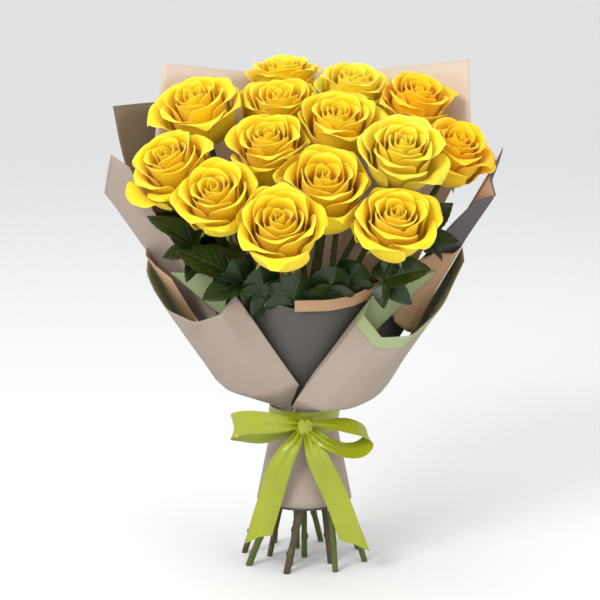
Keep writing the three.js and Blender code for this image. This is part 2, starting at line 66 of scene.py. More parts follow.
# ---- node tree helpers ---------------------------------------------------------------------------
class NodeBench:
    """Adds and joins the nodes of one node tree."""

    def __init__(self, tree: bpy.types.NodeTree) -> None:
        """Starts on an emptied node tree."""
        self.tree = tree
        tree.nodes.clear()

    @staticmethod
    def for_material(name: str) -> tuple[bpy.types.Material, "NodeBench"]:
        """Makes a new material to work on.

        Args:
            name: The material's name.

        Returns:
            The material and its bench.
        """
        made = bpy.data.materials.new(name)
        made.use_nodes = True
        return made, NodeBench(made.node_tree)

    def add(self, kind: str, inputs: dict | None = None, **settings: object) -> bpy.types.Node:
        """Adds one node.

        Args:
            kind: The node's type name.
            inputs: Socket name or number to a value, or to an output socket to join.
            settings: Attributes of the node itself.

        Returns:
            The new node.
        """
        node = self.tree.nodes.new(kind)
        for key, value in settings.items():
            setattr(node, key, value)
        for key, value in (inputs or {}).items():
            if isinstance(value, bpy.types.NodeSocket):
                self.tree.links.new(value, node.inputs[key])
            else:
                node.inputs[key].default_value = value
        return node

    def blend(self, share: object, low: object, high: object, mode: str = "MIX") -> bpy.types.NodeSocket:
        """Mixes two colours.

        Args:
            share: The factor, a number or a socket.
            low: The colour at 0.
            high: The colour at 1.
            mode: The blend type.

        Returns:
            The mixed colour's socket.
        """
        node = self.add("ShaderNodeMix", data_type="RGBA", blend_type=mode)
        for socket, value in ((node.inputs[0], share), (node.inputs[6], low), (node.inputs[7], high)):
            if isinstance(value, bpy.types.NodeSocket):
                self.tree.links.new(value, socket)
            else:
                socket.default_value = value
        return node.outputs[2]

    def maths(
        self, operation: str, first: object, second: object = 0.5, third: object = 0.0,
    ) -> bpy.types.NodeSocket:
        """Works out one number from up to three, each a number or a socket."""
        return self.add("ShaderNodeMath", {0: first, 1: second, 2: third}, operation=operation).outputs[0]

    def remap(
        self, value: object, low: float, high: float, to_low: float = 0.0, to_high: float = 1.0,
    ) -> bpy.types.NodeSocket:
        """Maps a range of numbers smoothly to another.

        Args:
            value: The number's socket.
            low: The value that maps to to_low.
            high: The value that maps to to_high.
            to_low: The result at low.
            to_high: The result at high.

        Returns:
            The result's socket.
        """
        node = self.add(
            "ShaderNodeMapRange",
            {0: value, 1: low, 2: high, 3: to_low, 4: to_high},
            interpolation_type="SMOOTHSTEP",
        )
        return node.outputs[0]

    def factor(self, share: object, swing: float) -> bpy.types.NodeSocket:
        """Turns a share that lies round a half into a factor round 1, with a swing for the whole range."""
        return self.maths("MULTIPLY_ADD", self.maths("SUBTRACT", share, 0.5), swing, 1.0)

    def toned(self, colour: object, tone: object) -> bpy.types.NodeSocket:
        """Multiplies a colour by a grey."""
        grey = self.add("ShaderNodeCombineColor", {0: tone, 1: tone, 2: tone})
        return self.blend(1.0, colour, grey.outputs[0], "MULTIPLY")

    def streaks(
        self, place: object, scale: tuple[float, float, float], detail: float,
    ) -> bpy.types.NodeSocket:
        """Makes noise that is stretched along one way.

        Args:
            place: The coordinates' socket.
            scale: How fine it is along each axis.
            detail: The noise's detail.

        Returns:
            The noise's socket.
        """
        mapping = self.add("ShaderNodeMapping", {"Vector": place, "Scale": scale})
        cloud = {"Vector": mapping.outputs[0], "Scale": 1.0, "Detail": detail}
        return self.add("ShaderNodeTexNoise", cloud).outputs[0]

    def mottle(self, size: float, contrast: float) -> bpy.types.NodeSocket:
        """Places the shared soft mottle, with how fine and how strong it is."""
        values = {"Size": size, "Contrast": contrast}
        return self.add("ShaderNodeGroup", values, node_tree=mottle_group()).outputs[0]

    def halves(self, share: object) -> bpy.types.NodeSocket:
        """Returns how far a share of the width is from the middle line."""
        return self.maths("ABSOLUTE", self.maths("SUBTRACT", share, 0.5), 0.0)

    def surface(self, colour: object, relief: dict, sockets: dict, sunk: bool = False) -> None:
        """Joins a colour and a relief to a shader and the material's output.

        Args:
            colour: The colour's socket.
            relief: The Strength, Distance and Height of the bump.
            sockets: The shader's other values.
            sunk: Whether the relief goes inwards.
        """
        bump = self.add("ShaderNodeBump", relief, invert=sunk)
        values = {"Base Color": colour, "Normal": bump.outputs[0], **sockets}
        shader = self.add("ShaderNodeBsdfPrincipled", values)
        self.add("ShaderNodeOutputMaterial", {"Surface": shader.outputs[0]})


def new_group(
    name: str, inputs: Sequence[tuple[str, str, float]], outputs: Sequence[tuple[str, str]],
) -> bpy.types.NodeTree:
    """Makes an empty shader node group with its sockets.

    Args:
        name: The group's name.
        inputs: Name, kind and default of each input.
        outputs: Name and kind of each output.

    Returns:
        The node group.
    """
    group = bpy.data.node_groups.new(name, "ShaderNodeTree")
    for label, kind, default in inputs:
        socket = group.interface.new_socket(name=label, in_out="INPUT", socket_type=kind)
        socket.default_value = default
    for label, kind in outputs:
        group.interface.new_socket(name=label, in_out="OUTPUT", socket_type=kind)
    return group


def mottle_group() -> bpy.types.NodeTree:
    """Soft irregular tone variation over a surface, from 0 to 1.

    Returns:
        The shared node group.
    """
    name = "soft_mottle"
    if name in bpy.data.node_groups:
        return bpy.data.node_groups[name]
    group = new_group(
        name,
        [("Size", "NodeSocketFloat", 60.0), ("Contrast", "NodeSocketFloat", 0.3)],
        [("Tone", "NodeSocketFloat")],
    )
    bench = NodeBench(group)
    ends = bench.add("NodeGroupInput")
    place = bench.add("ShaderNodeTexCoord")
    cloud = bench.add(
        "ShaderNodeTexNoise",
        {"Vector": place.outputs["Object"], "Scale": ends.outputs["Size"], "Detail": 4.0, "Roughness": 0.55},
    )
    centred = bench.maths("SUBTRACT", cloud.outputs[0], 0.5)
    tone = bench.maths("MULTIPLY_ADD", centred, ends.outputs["Contrast"], 0.5)
    bench.add("NodeGroupOutput", {"Tone": tone})
    return group


def fibre_group() -> bpy.types.NodeTree:
    """Fine paper fibre, as a height from 0 to 1.

    Returns:
        The shared node group.
    """
    name = "paper_fibre"
    if name in bpy.data.node_groups:
        return bpy.data.node_groups[name]
    group = new_group(name, [("Size", "NodeSocketFloat", 900.0)], [("Height", "NodeSocketFloat")])
    bench = NodeBench(group)
    ends = bench.add("NodeGroupInput")
    place = bench.add("ShaderNodeTexCoord")
    stretch = bench.add("ShaderNodeMapping", {"Vector": place.outputs["Object"], "Scale": (1.0, 1.0, 0.45)})
    grain = bench.add(
        "ShaderNodeTexNoise",
        {"Vector": stretch.outputs[0], "Scale": ends.outputs["Size"], "Detail": 5.0, "Roughness": 0.7},
    )
    bench.add("NodeGroupOutput", {"Height": grain.outputs[0]})
    return group


# ---- finishes ------------------------------------------------------------------------------------
@dataclass(frozen=True)
class Tint:
    """A linear colour."""

    red: float
    green: float
    blue: float

    def rgba(self) -> tuple[float, float, float, float]:
        """Returns the colour with full alpha."""
        return (self.red, self.green, self.blue, 1.0)

    @staticmethod
    def display(red: int, green: int, blue: int) -> "Tint":
        """Makes a colour from display values.

        Args:
            red: Display red, 0 to 255.
            green: Display green, 0 to 255.
            blue: Display blue, 0 to 255.

        Returns:
            The linear colour.
        """
        def linear(value: int) -> float:
            """Returns the linear share of one display value."""
            share = value / 255.0
            return share / 12.92 if share <= 0.04045 else ((share + 0.055) / 1.055) ** 2.4
        return Tint(linear(red), linear(green), linear(blue))


@dataclass(frozen=True)
class PetalFinish:
    """Thin yellow petals: orange deep in the cup, partly the real colour of the petals' feet and partly
    painted shade of the cup's hollow; pale along the edge, partly the petals' paler edges and partly a
    painted highlight on the rolled rims; lemon on the outside.
    """

    name: str
    body: Tint
    # The cup colour: partly the real orange at the petals' feet, partly painted shade of the cup's hollow.
    cup_orange_and_shade: Tint
    # The edge colour: partly the paler petal edge, partly a painted highlight on the rolled rims.
    edge: Tint
    outer: Tint

    def material(self) -> bpy.types.Material:
        """Returns the petal material, which reads each petal's own data attribute."""
        made, bench = NodeBench.for_material(self.name)
        data = bench.add("ShaderNodeAttribute", attribute_name="petal_data", attribute_type="GEOMETRY")
        parts = bench.add("ShaderNodeSeparateColor", {0: data.outputs["Color"]})
        age, rise, chance = parts.outputs[0], parts.outputs[1], parts.outputs[2]
        side = data.outputs["Alpha"]
        mottle = bench.mottle(size=45.0, contrast=1.1)
        # Painted shade, in part: the colour deepens towards the petals' feet and on the inner petals, where
        # the cup is in shadow, on top of the real orange there.
        depth = bench.remap(rise, 0.3, 0.9, 1.0, 0.0)
        depth = bench.maths("MULTIPLY", depth, bench.remap(age, 0.3, 1.0, 0.85, 0.25))
        colour = bench.blend(depth, self.body.rgba(), self.cup_orange_and_shade.rgba())
        lemon = bench.maths("MULTIPLY", bench.remap(age, 0.62, 1.0), bench.remap(mottle, 0.2, 0.9))
        colour = bench.blend(lemon, colour, self.outer.rgba())
        # Painted highlight, in part: the rims and sides are made paler where the rolled edges catch the
        # light, on top of the petals' real paler edges.
        pale_tip_and_highlight = bench.remap(rise, 0.9, 1.0)
        pale_side_and_highlight = bench.remap(side, 0.88, 1.0)
        rim = bench.maths("MAXIMUM", pale_tip_and_highlight, bench.maths("MULTIPLY", pale_side_and_highlight, 0.7))
        rim = bench.maths("MULTIPLY", rim, bench.remap(chance, 0.0, 1.0, 0.35, 0.8))
        colour = bench.blend(rim, colour, self.edge.rgba())
        place = bench.add("ShaderNodeUVMap", uv_map="petal_uv")
        veins = bench.streaks(place.outputs[0], (46.0, 1.6, 1.0), detail=3.0)
        tone = bench.maths("MULTIPLY", bench.factor(veins, 0.22), bench.remap(chance, 0.0, 1.0, 0.95, 1.04))
        bench.surface(bench.toned(colour, tone), {"Strength": 0.28, "Distance": 0.6 * MM, "Height": veins}, {
            "Roughness": 0.55, "Specular IOR Level": 0.22, "Sheen Weight": 0.12,
            "Subsurface Weight": 0.35, "Subsurface Scale": 5 * MM, "Subsurface Radius": (1.0, 0.62, 0.08),
        })
        return made


@dataclass(frozen=True)
class StemFinish:
    """Waxy stem skin, from green to red-brown in patches along its length."""

    name: str
    green: Tint
    brown: Tint
    brown_share: float

    def material(self) -> bpy.types.Material:
        """Returns the stem material."""
        made, bench = NodeBench.for_material(self.name)
        place = bench.add("ShaderNodeTexCoord")
        patch = bench.streaks(place.outputs["Object"], (70.0, 70.0, 12.0), detail=4.0)
        share = bench.remap(patch, 0.72 - self.brown_share, 0.95 - self.brown_share)
        colour = bench.blend(share, self.green.rgba(), self.brown.rgba())
        fine = bench.streaks(place.outputs["Object"], (900.0, 900.0, 40.0), detail=2.0)
        colour = bench.toned(colour, bench.remap(fine, 0.3, 0.7, 0.8, 1.18))
        relief = {"Strength": 0.35, "Distance": 0.5 * MM, "Height": fine}
        bench.surface(colour, relief, {"Roughness": 0.46, "Specular IOR Level": 0.4})
        return made


@dataclass(frozen=True)
class LeafFinish:
    """Leathery leaf blade with a paler midrib and side veins."""

    name: str
    blade: Tint
    vein: Tint
    roughness: float

    def material(self) -> bpy.types.Material:
        """Returns the leaf material, which follows the blade's own map."""
        made, bench = NodeBench.for_material(self.name)
        place = bench.add("ShaderNodeUVMap", uv_map="leaf_uv")
        parts = bench.add("ShaderNodeSeparateXYZ", {0: place.outputs[0]})
        across = bench.halves(parts.outputs[0])
        midrib = bench.remap(across, 0.008, 0.03, 1.0, 0.0)
        slant = bench.maths("MULTIPLY_ADD", across, -0.55, parts.outputs[1])
        comb = bench.maths("SINE", bench.maths("MULTIPLY", slant, VEIN_PITCH), 0.0)
        side = bench.maths("MULTIPLY", bench.remap(comb, 0.9, 1.0), bench.remap(across, 0.5, 0.3, 0.0, 0.6))
        vein = bench.maths("MAXIMUM", midrib, side)
        dark = Tint(self.blade.red * 0.55, self.blade.green * 0.6, self.blade.blue * 0.6)
        colour = bench.blend(bench.mottle(size=90.0, contrast=1.6), dark.rgba(), self.blade.rgba())
        colour = bench.blend(bench.maths("MULTIPLY", vein, 0.75), colour, self.vein.rgba())
        relief = {"Strength": 0.6, "Distance": 0.8 * MM, "Height": vein}
        bench.surface(colour, relief, {"Roughness": self.roughness, "Specular IOR Level": 0.45}, sunk=True)
        return made


@dataclass(frozen=True)
class PaperFinish:
    """Matt florist paper with a fine fibre and soft tone changes."""

    name: str
    colour: Tint
    roughness: float = 0.78
    mottle_size: float = 22.0
    mottle_contrast: float = 0.9

    def material(self) -> bpy.types.Material:
        """Returns the paper material."""
        made, bench = NodeBench.for_material(self.name)
        fibre = bench.add("ShaderNodeGroup", node_tree=fibre_group()).outputs[0]
        bench.surface(
            self.tint(bench, bench.mottle(self.mottle_size, self.mottle_contrast), fibre),
            {"Strength": 0.22, "Distance": 0.3 * MM, "Height": fibre},
            {"Roughness": self.roughness, "Specular IOR Level": 0.3},
        )
        return made

    def tint(self, bench: NodeBench, mottle: object, fibre: object) -> bpy.types.NodeSocket:
        """Varies the paper's colour.

        Args:
            bench: The material's bench.
            mottle: The soft tone's socket.
            fibre: The fibre's socket.

        Returns:
            The colour's socket.
        """
        dark = Tint(self.colour.red * 0.9, self.colour.green * 0.89, self.colour.blue * 0.87)
        light = Tint(self.colour.red * 1.07, self.colour.green * 1.07, self.colour.blue * 1.07)
        colour = bench.blend(mottle, dark.rgba(), light.rgba())
        return bench.toned(colour, bench.remap(fibre, 0.25, 0.75, 0.965, 1.035))


@dataclass(frozen=True)
class CuffedPaper(PaperFinish):
    """Paper with a turned-out cuff of another colour along its rim, and a painted shadow under the cuff's
    edge.
    """

    cuff: Tint = Tint.display(152, 164, 122)
    # The colour of the painted shadow under the cuff's edge.
    cuff_painted_shadow: Tint = Tint(0.12, 0.1, 0.08)

    def tint(self, bench: NodeBench, mottle: object, fibre: object) -> bpy.types.NodeSocket:
        """Colours the cuff by the distance from the rim, with a painted shadow as a soft dark line under the
        cuff's edge.

        Args:
            bench: The material's bench.
            mottle: The soft tone's socket.
            fibre: The fibre's socket.

        Returns:
            The colour's socket.
        """
        distance = bench.add("ShaderNodeAttribute", attribute_name="cuff", attribute_type="GEOMETRY")
        rim = distance.outputs["Fac"]
        share = bench.remap(rim, 0.97, 1.0)
        # Painted shadow: a soft dark line on the paper just under the cuff's edge.
        line = bench.maths("MULTIPLY", share, bench.remap(rim, 1.0, 1.12, 1.0, 0.0))
        colour = bench.blend(share, self.cuff.rgba(), self.colour.rgba())
        colour = bench.blend(bench.maths("MULTIPLY", line, 0.45), colour, self.cuff_painted_shadow.rgba())
        return bench.toned(colour, bench.factor(mottle, 0.16))


@dataclass(frozen=True)
class SatinFinish:
    """Glossy satin ribbon with a fine crosswise weave."""

    name: str
    colour: Tint
    shade: Tint
    weft_threads: float = 2600.0
    warp_threads: float = 330.0

    def material(self) -> bpy.types.Material:
        """Returns the satin material, which follows the ribbon's own map."""
        made, bench = NodeBench.for_material(self.name)
        place = bench.add("ShaderNodeUVMap", uv_map="ribbon_uv")
        parts = bench.add("ShaderNodeSeparateXYZ", {0: place.outputs[0]})
        hem = bench.remap(bench.halves(parts.outputs[0]), 0.45, 0.49)
        weave = bench.maths("SINE", bench.maths("MULTIPLY", parts.outputs[1], self.weft_threads), 0.0)
        warp = bench.maths("SINE", bench.maths("MULTIPLY", parts.outputs[0], self.warp_threads), 0.0)
        thread = bench.maths("ADD", bench.maths("MULTIPLY", weave, 0.5), bench.maths("MULTIPLY", warp, 0.5))
        colour = bench.blend(bench.mottle(size=30.0, contrast=0.8), self.shade.rgba(), self.colour.rgba())
        colour = bench.blend(bench.maths("MULTIPLY", hem, 0.35), colour, self.shade.rgba())
        relief = {"Strength": 0.12, "Distance": 0.1 * MM, "Height": thread}
        bench.surface(colour, relief, {"Roughness": 0.3, "Specular IOR Level": 0.8, "Anisotropic": 0.6})
        return made


SATIN = SatinFinish("satin_chartreuse", Tint.display(168, 176, 0), Tint.display(128, 140, 0))


class PaperTone(Enum):
    """The papers of the wrap."""

    BEIGE = PaperFinish("paper_beige", Tint.display(161, 147, 135))
    BACK_BEIGE = PaperFinish("paper_back_beige", Tint.display(208, 190, 172))
    TAUPE = PaperFinish("paper_taupe", Tint.display(86, 83, 80))
    SLATE = PaperFinish("paper_slate", Tint.display(92, 86, 90))
    UMBER = PaperFinish("paper_umber", Tint.display(112, 96, 76))
    SAGE = PaperFinish("paper_sage", Tint.display(152, 164, 122))
    KRAFT = PaperFinish("paper_kraft", Tint.display(178, 143, 112))


class Stock:
    """The made materials, one of each, shared by all pieces."""

    def __init__(self) -> None:
        """Makes an empty store."""
        self._made: dict[str, bpy.types.Material] = {}

    def of(self, finish: object) -> bpy.types.Material:
        """Gives a finish's material, made once.

        Args:
            finish: A finish with a name and a material method.

        Returns:
            The material.
        """
        if finish.name not in self._made:
            self._made[finish.name] = finish.material()
        return self._made[finish.name]


STOCK = Stock()


# ---- mesh helpers --------------------------------------------------------------------------------
def work_on(obj: bpy.types.Object) -> None:
    """Selects one object alone and makes it active.

    Args:
        obj: The object to work on.
    """
    bpy.ops.object.select_all(action="DESELECT")
    obj.select_set(True)
    bpy.context.view_layer.objects.active = obj


def apply_modifier(obj: bpy.types.Object, kind: str, **settings: object) -> None:
    """Adds a modifier and applies it.

    Args:
        obj: The object.
        kind: The modifier's type.
        settings: The modifier's attributes.
    """
    work_on(obj)
    modifier = obj.modifiers.new(kind.lower(), kind)
    for key, value in settings.items():
        setattr(modifier, key, value)
    bpy.ops.object.modifier_apply(modifier=modifier.name)


def blank_sheet(columns: int, rows: int, uv_name: str) -> bpy.types.Mesh:
    """Makes a flat unit sheet to be shaped: x runs across from -1 to 1 and y up from 0 to 1.

    Args:
        columns: Cells across.
        rows: Cells up.
        uv_name: The name of its map.

    Returns:
        The sheet's mesh.
    """
    bpy.ops.object.select_all(action="DESELECT")
    bpy.ops.mesh.primitive_grid_add(x_subdivisions=columns, y_subdivisions=rows, size=2.0, calc_uvs=True)
    obj = bpy.context.object
    mesh = obj.data
    for vertex in mesh.vertices:
        vertex.co.y = (vertex.co.y + 1.0) / 2.0
    mesh.uv_layers[0].name = uv_name
    bpy.data.objects.remove(obj)
    return mesh


def object_of(name: str, mesh: bpy.types.Mesh) -> bpy.types.Object:
    """Puts a mesh in the scene as an object.

    Args:
        name: The object's name.
        mesh: Its mesh.

    Returns:
        The object.
    """
    obj = bpy.data.objects.new(name, mesh)
    bpy.context.collection.objects.link(obj)
    return obj


def ball(segments: int, rings: int) -> bpy.types.Object:
    """Returns a unit ball to be shaped."""
    bpy.ops.object.select_all(action="DESELECT")
    bpy.ops.mesh.primitive_uv_sphere_add(segments=segments, ring_count=rings, radius=1.0)
    return bpy.context.object


def grid_of(mesh: bpy.types.Mesh) -> np.ndarray:
    """Returns a mesh's points as an array of rows of three."""
    flat = np.empty(len(mesh.vertices) * 3)
    mesh.vertices.foreach_get("co", flat)
    return flat.reshape(-1, 3)


def set_grid(mesh: bpy.types.Mesh, points: np.ndarray) -> None:
    """Writes an array of points, rows of three, back to a mesh."""
    mesh.vertices.foreach_set("co", np.ascontiguousarray(points, dtype=np.float32).ravel())
    mesh.update()


def smooth(obj: bpy.types.Object, angle: float = 50.0) -> None:
    """Shades an object smooth, with edges over an angle in degrees kept crisp."""
    work_on(obj)
    bpy.ops.object.shade_smooth_by_angle(angle=math.radians(angle))


def close_up(obj: bpy.types.Object, seam: bool = False, ends: bool = False) -> None:
    """Turns every face of a mesh outwards, and closes its seam and its ends first where asked.

    Args:
        obj: The object.
        seam: Whether the two edges of a rolled sheet are merged.
        ends: Whether the open ends get a face.
    """
    work_on(obj)
    bpy.ops.object.mode_set(mode="EDIT")
    bpy.ops.mesh.select_all(action="SELECT")
    if seam:
        bpy.ops.mesh.remove_doubles(threshold=SEAM_GAP)
    if ends:
        bpy.ops.mesh.select_all(action="DESELECT")
        bpy.ops.mesh.select_non_manifold()
        bpy.ops.mesh.edge_face_add()
        bpy.ops.mesh.select_all(action="SELECT")
    bpy.ops.mesh.normals_make_consistent(inside=False)
    bpy.ops.object.mode_set(mode="OBJECT")


def lengths(rows: np.ndarray) -> np.ndarray:
    """Returns the length of each row of three."""
    return np.linalg.norm(rows, axis=1)


def declare(obj: bpy.types.Object, slot: str, nodes: Iterable[str] = ()) -> bpy.types.Object:
    """Puts a finished piece on the body, hides the nodes of the solid model that it replaces and logs it.

    Args:
        obj: The finished piece.
        slot: A name for the piece's kind of surface, only written to the log.
        nodes: The nodes of the solid model that it replaces.

    Returns:
        The same piece.
    """
    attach(obj, BODY)
    names = list(nodes)
    if names:
        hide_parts(*names)
    LOG.info("%s: %d faces, slot %s", obj.name, len(obj.data.polygons), slot)
    return obj


def node_points(name: str) -> np.ndarray:
    """Returns the points of a node of the solid model."""
    return grid_of(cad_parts[name].data)


def eased(value: np.ndarray) -> np.ndarray:
    """Returns a smooth step of values held between 0 and 1."""
    held = np.clip(value, 0.0, 1.0)
    return held * held * (3.0 - 2.0 * held)


# ---- stems ---------------------------------------------------------------------------------------
@dataclass
class StemLine:
    """The middle line of one stem, measured on its solid."""

    name: str
    points: np.ndarray
    radius: float

    @staticmethod
    def measure(name: str, levels: int = 26, crown: float = 0.012, swell: float = 1.08) -> "StemLine":
        """Cuts a stem's solid at a series of heights and joins the middles of the cuts.

        Args:
            name: The stem's node.
            levels: How many cuts to make.
            crown: The height at its top that counts as its end.
            swell: How far the round stem goes past the flats of the solid.

        Returns:
            The stem's line.
        """
        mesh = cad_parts[name].data
        points = grid_of(mesh)
        edges = np.empty(len(mesh.edges) * 2, dtype=np.int64)
        mesh.edges.foreach_get("vertices", edges)
        ends = points[edges.reshape(-1, 2)]
        low, high = points[:, 2].min(), points[:, 2].max()
        middles = []
        radii = []
        for share in np.linspace(0.004, 0.985, levels):
            height = low + (high - low) * share
            under = ends[:, 0, 2] - height
            over = ends[:, 1, 2] - height
            crossing = under * over < 0
            part = under[crossing] / (under[crossing] - over[crossing])
            cut = ends[crossing, 0] + (ends[crossing, 1] - ends[crossing, 0]) * part[:, None]
            middle = (cut.min(axis=0) + cut.max(axis=0)) / 2
            middles.append(middle)
            radii.append(lengths(cut - middle).min())
        top = points[points[:, 2] > high - crown].mean(axis=0)
        line = np.array([*middles, top])
        line[0, 2] = 0.0
        return StemLine(name, line, float(np.median(radii)) * swell)

    def at(self, share: float) -> tuple[Vector, Vector]:
        """Gives a place on the line.

        Args:
            share: How far along, from 0 at the cut end to 1 at the bloom.

        Returns:
            The point there and the direction of growth.
        """
        place = min(max(share, 0.0), 1.0) * (len(self.points) - 1)
        index = min(int(place), len(self.points) - 2)
        before, after = self.points[index], self.points[index + 1]
        point = before + (after - before) * (place - index)
        low = self.points[max(index - 1, 0)]
        high = self.points[min(index + 2, len(self.points) - 1)]
        return Vector(point), Vector(high - low).normalized()


@dataclass
class Stem:
    """A rose stem with leaf nodes and thorn stubs, cut level at the foot."""

    line: StemLine
    seed: int
    brown_share: float
    sides: int = 16
    fine_rows: int = 84
    coarse_rows: int = 26
    fine_to: float = 0.42
    knobs: int = 5
    knobs_from: float = 0.03
    knobs_over: float = 0.36
    knob_length: float = 2.6 * MM
    thorn_width: float = 0.55
    unevenness: float = 0.06

    def build(self) -> bpy.types.Object:
        """Rolls a flat sheet into a tube along the stem's line, swells its nodes and closes the ends.

        Returns:
            The stem, on its body.
        """
        chance = np.random.default_rng(self.seed)
        rows = self.fine_rows + self.coarse_rows
        shares = np.concatenate([
            np.linspace(0.0, self.fine_to, self.fine_rows, endpoint=False),
            np.linspace(self.fine_to, 1.0, self.coarse_rows + 1),
        ])
        spacing = self.knobs_over / self.knobs
        knob_at = [
            self.knobs_from + (index + chance.uniform(0.2, 0.8)) * spacing for index in range(self.knobs)
        ]
        knob_turn = [chance.uniform(0, 2 * math.pi) for _ in range(self.knobs)]
        knob_size = [chance.uniform(0.25, 0.6) for _ in range(self.knobs)]
        length = float(lengths(np.diff(self.line.points, axis=0)).sum())
        mesh = blank_sheet(self.sides, rows, "stem_uv")
        points = grid_of(mesh)
        shaped = np.empty_like(points)
        for row in range(rows + 1):
            share = float(shares[row])
            middle, growth = self.line.at(share)
            across = growth.cross(Vector((0.0, 1.0, 0.0))).normalized()
            over = growth.cross(across).normalized()
            wander = 1.0 + self.unevenness * noise.noise(Vector((share * 14.0, self.seed * 3.1, 0.0)))
            in_row = np.isclose(points[:, 1], row / rows, atol=0.25 / rows)
            for index in np.nonzero(in_row)[0]:
                turn = (points[index, 0] + 1.0) * math.pi
                reach = self.line.radius * wander
                for place, facing, size in zip(knob_at, knob_turn, knob_size):
                    away = (share - place) * length / self.knob_length
                    turned = (turn - facing + math.pi) % (2 * math.pi) - math.pi
                    thorn = size * math.exp(-(turned / self.thorn_width) ** 2)
                    reach += self.line.radius * math.exp(-away * away) * (0.12 + thorn)
                shaped[index] = middle + (across * math.cos(turn) + over * math.sin(turn)) * reach
            if row == 0:
                shaped[in_row, 2] = 0.0
        set_grid(mesh, shaped)
        obj = object_of(f"stem_{self.line.name[-2:]}", mesh)
        close_up(obj, seam=True, ends=True)
        self.dress(obj)
        return declare(obj, "stem", [self.line.name])

    def dress(self, obj: bpy.types.Object) -> None:
        """Gives the stem its skin, and its foot the pale colour of a fresh cut.

        Args:
            obj: The stem.
        """
        kind = "brown" if self.brown_share > 0.3 else "green"
        green, brown = Tint.display(78, 92, 34), Tint.display(74, 62, 38)
        skin = StemFinish(f"stem_{kind}", green, brown, self.brown_share)
        cut = StemFinish("stem_cut_end", Tint.display(150, 160, 104), Tint.display(120, 108, 72), 0.2)
        obj.data.materials.append(STOCK.of(skin))
        obj.data.materials.append(STOCK.of(cut))
        smooth(obj, 40.0)
        for face in obj.data.polygons:
            if len(face.vertices) > 4 and face.center.z < MM:
                face.material_index = 1


# ---- blooms --------------------------------------------------------------------------------------
class RoseTone(Enum):
    """How warm or pale a rose is."""

    GOLDEN = PetalFinish(
        "petal_golden", body=Tint(1.0, 0.57, 0.004), cup_orange_and_shade=Tint(0.98, 0.42, 0.002),
        edge=Tint(1.0, 0.72, 0.03), outer=Tint(0.96, 0.58, 0.01),
    )
    BRIGHT = PetalFinish(
        "petal_bright", body=Tint(1.0, 0.68, 0.008), cup_orange_and_shade=Tint(1.0, 0.54, 0.004),
        edge=Tint(1.0, 0.82, 0.09), outer=Tint(0.97, 0.70, 0.014),
    )
    LEMON = PetalFinish(
        "petal_lemon", body=Tint(0.98, 0.74, 0.02), cup_orange_and_shade=Tint(0.98, 0.58, 0.006),
        edge=Tint(1.0, 0.86, 0.18), outer=Tint(0.88, 0.75, 0.05),
    )


@dataclass
class PetalShape:
    """One petal's sizes, in shares of the bloom's radius."""

    turn: float
    half_angle: float
    foot_radius: float
    cup_radius: float
    cup_height: float
    top_length: float
    lean: float
    curl: float
    roll: float
    side_curl: float
    point: float
    wave: float
    spiral: float
    age: float
    chance: float
    phase: float


@dataclass
class Neighbour:
    """The flat of contact where a bloom presses on the one beside it."""

    place: np.ndarray
    normal: np.ndarray


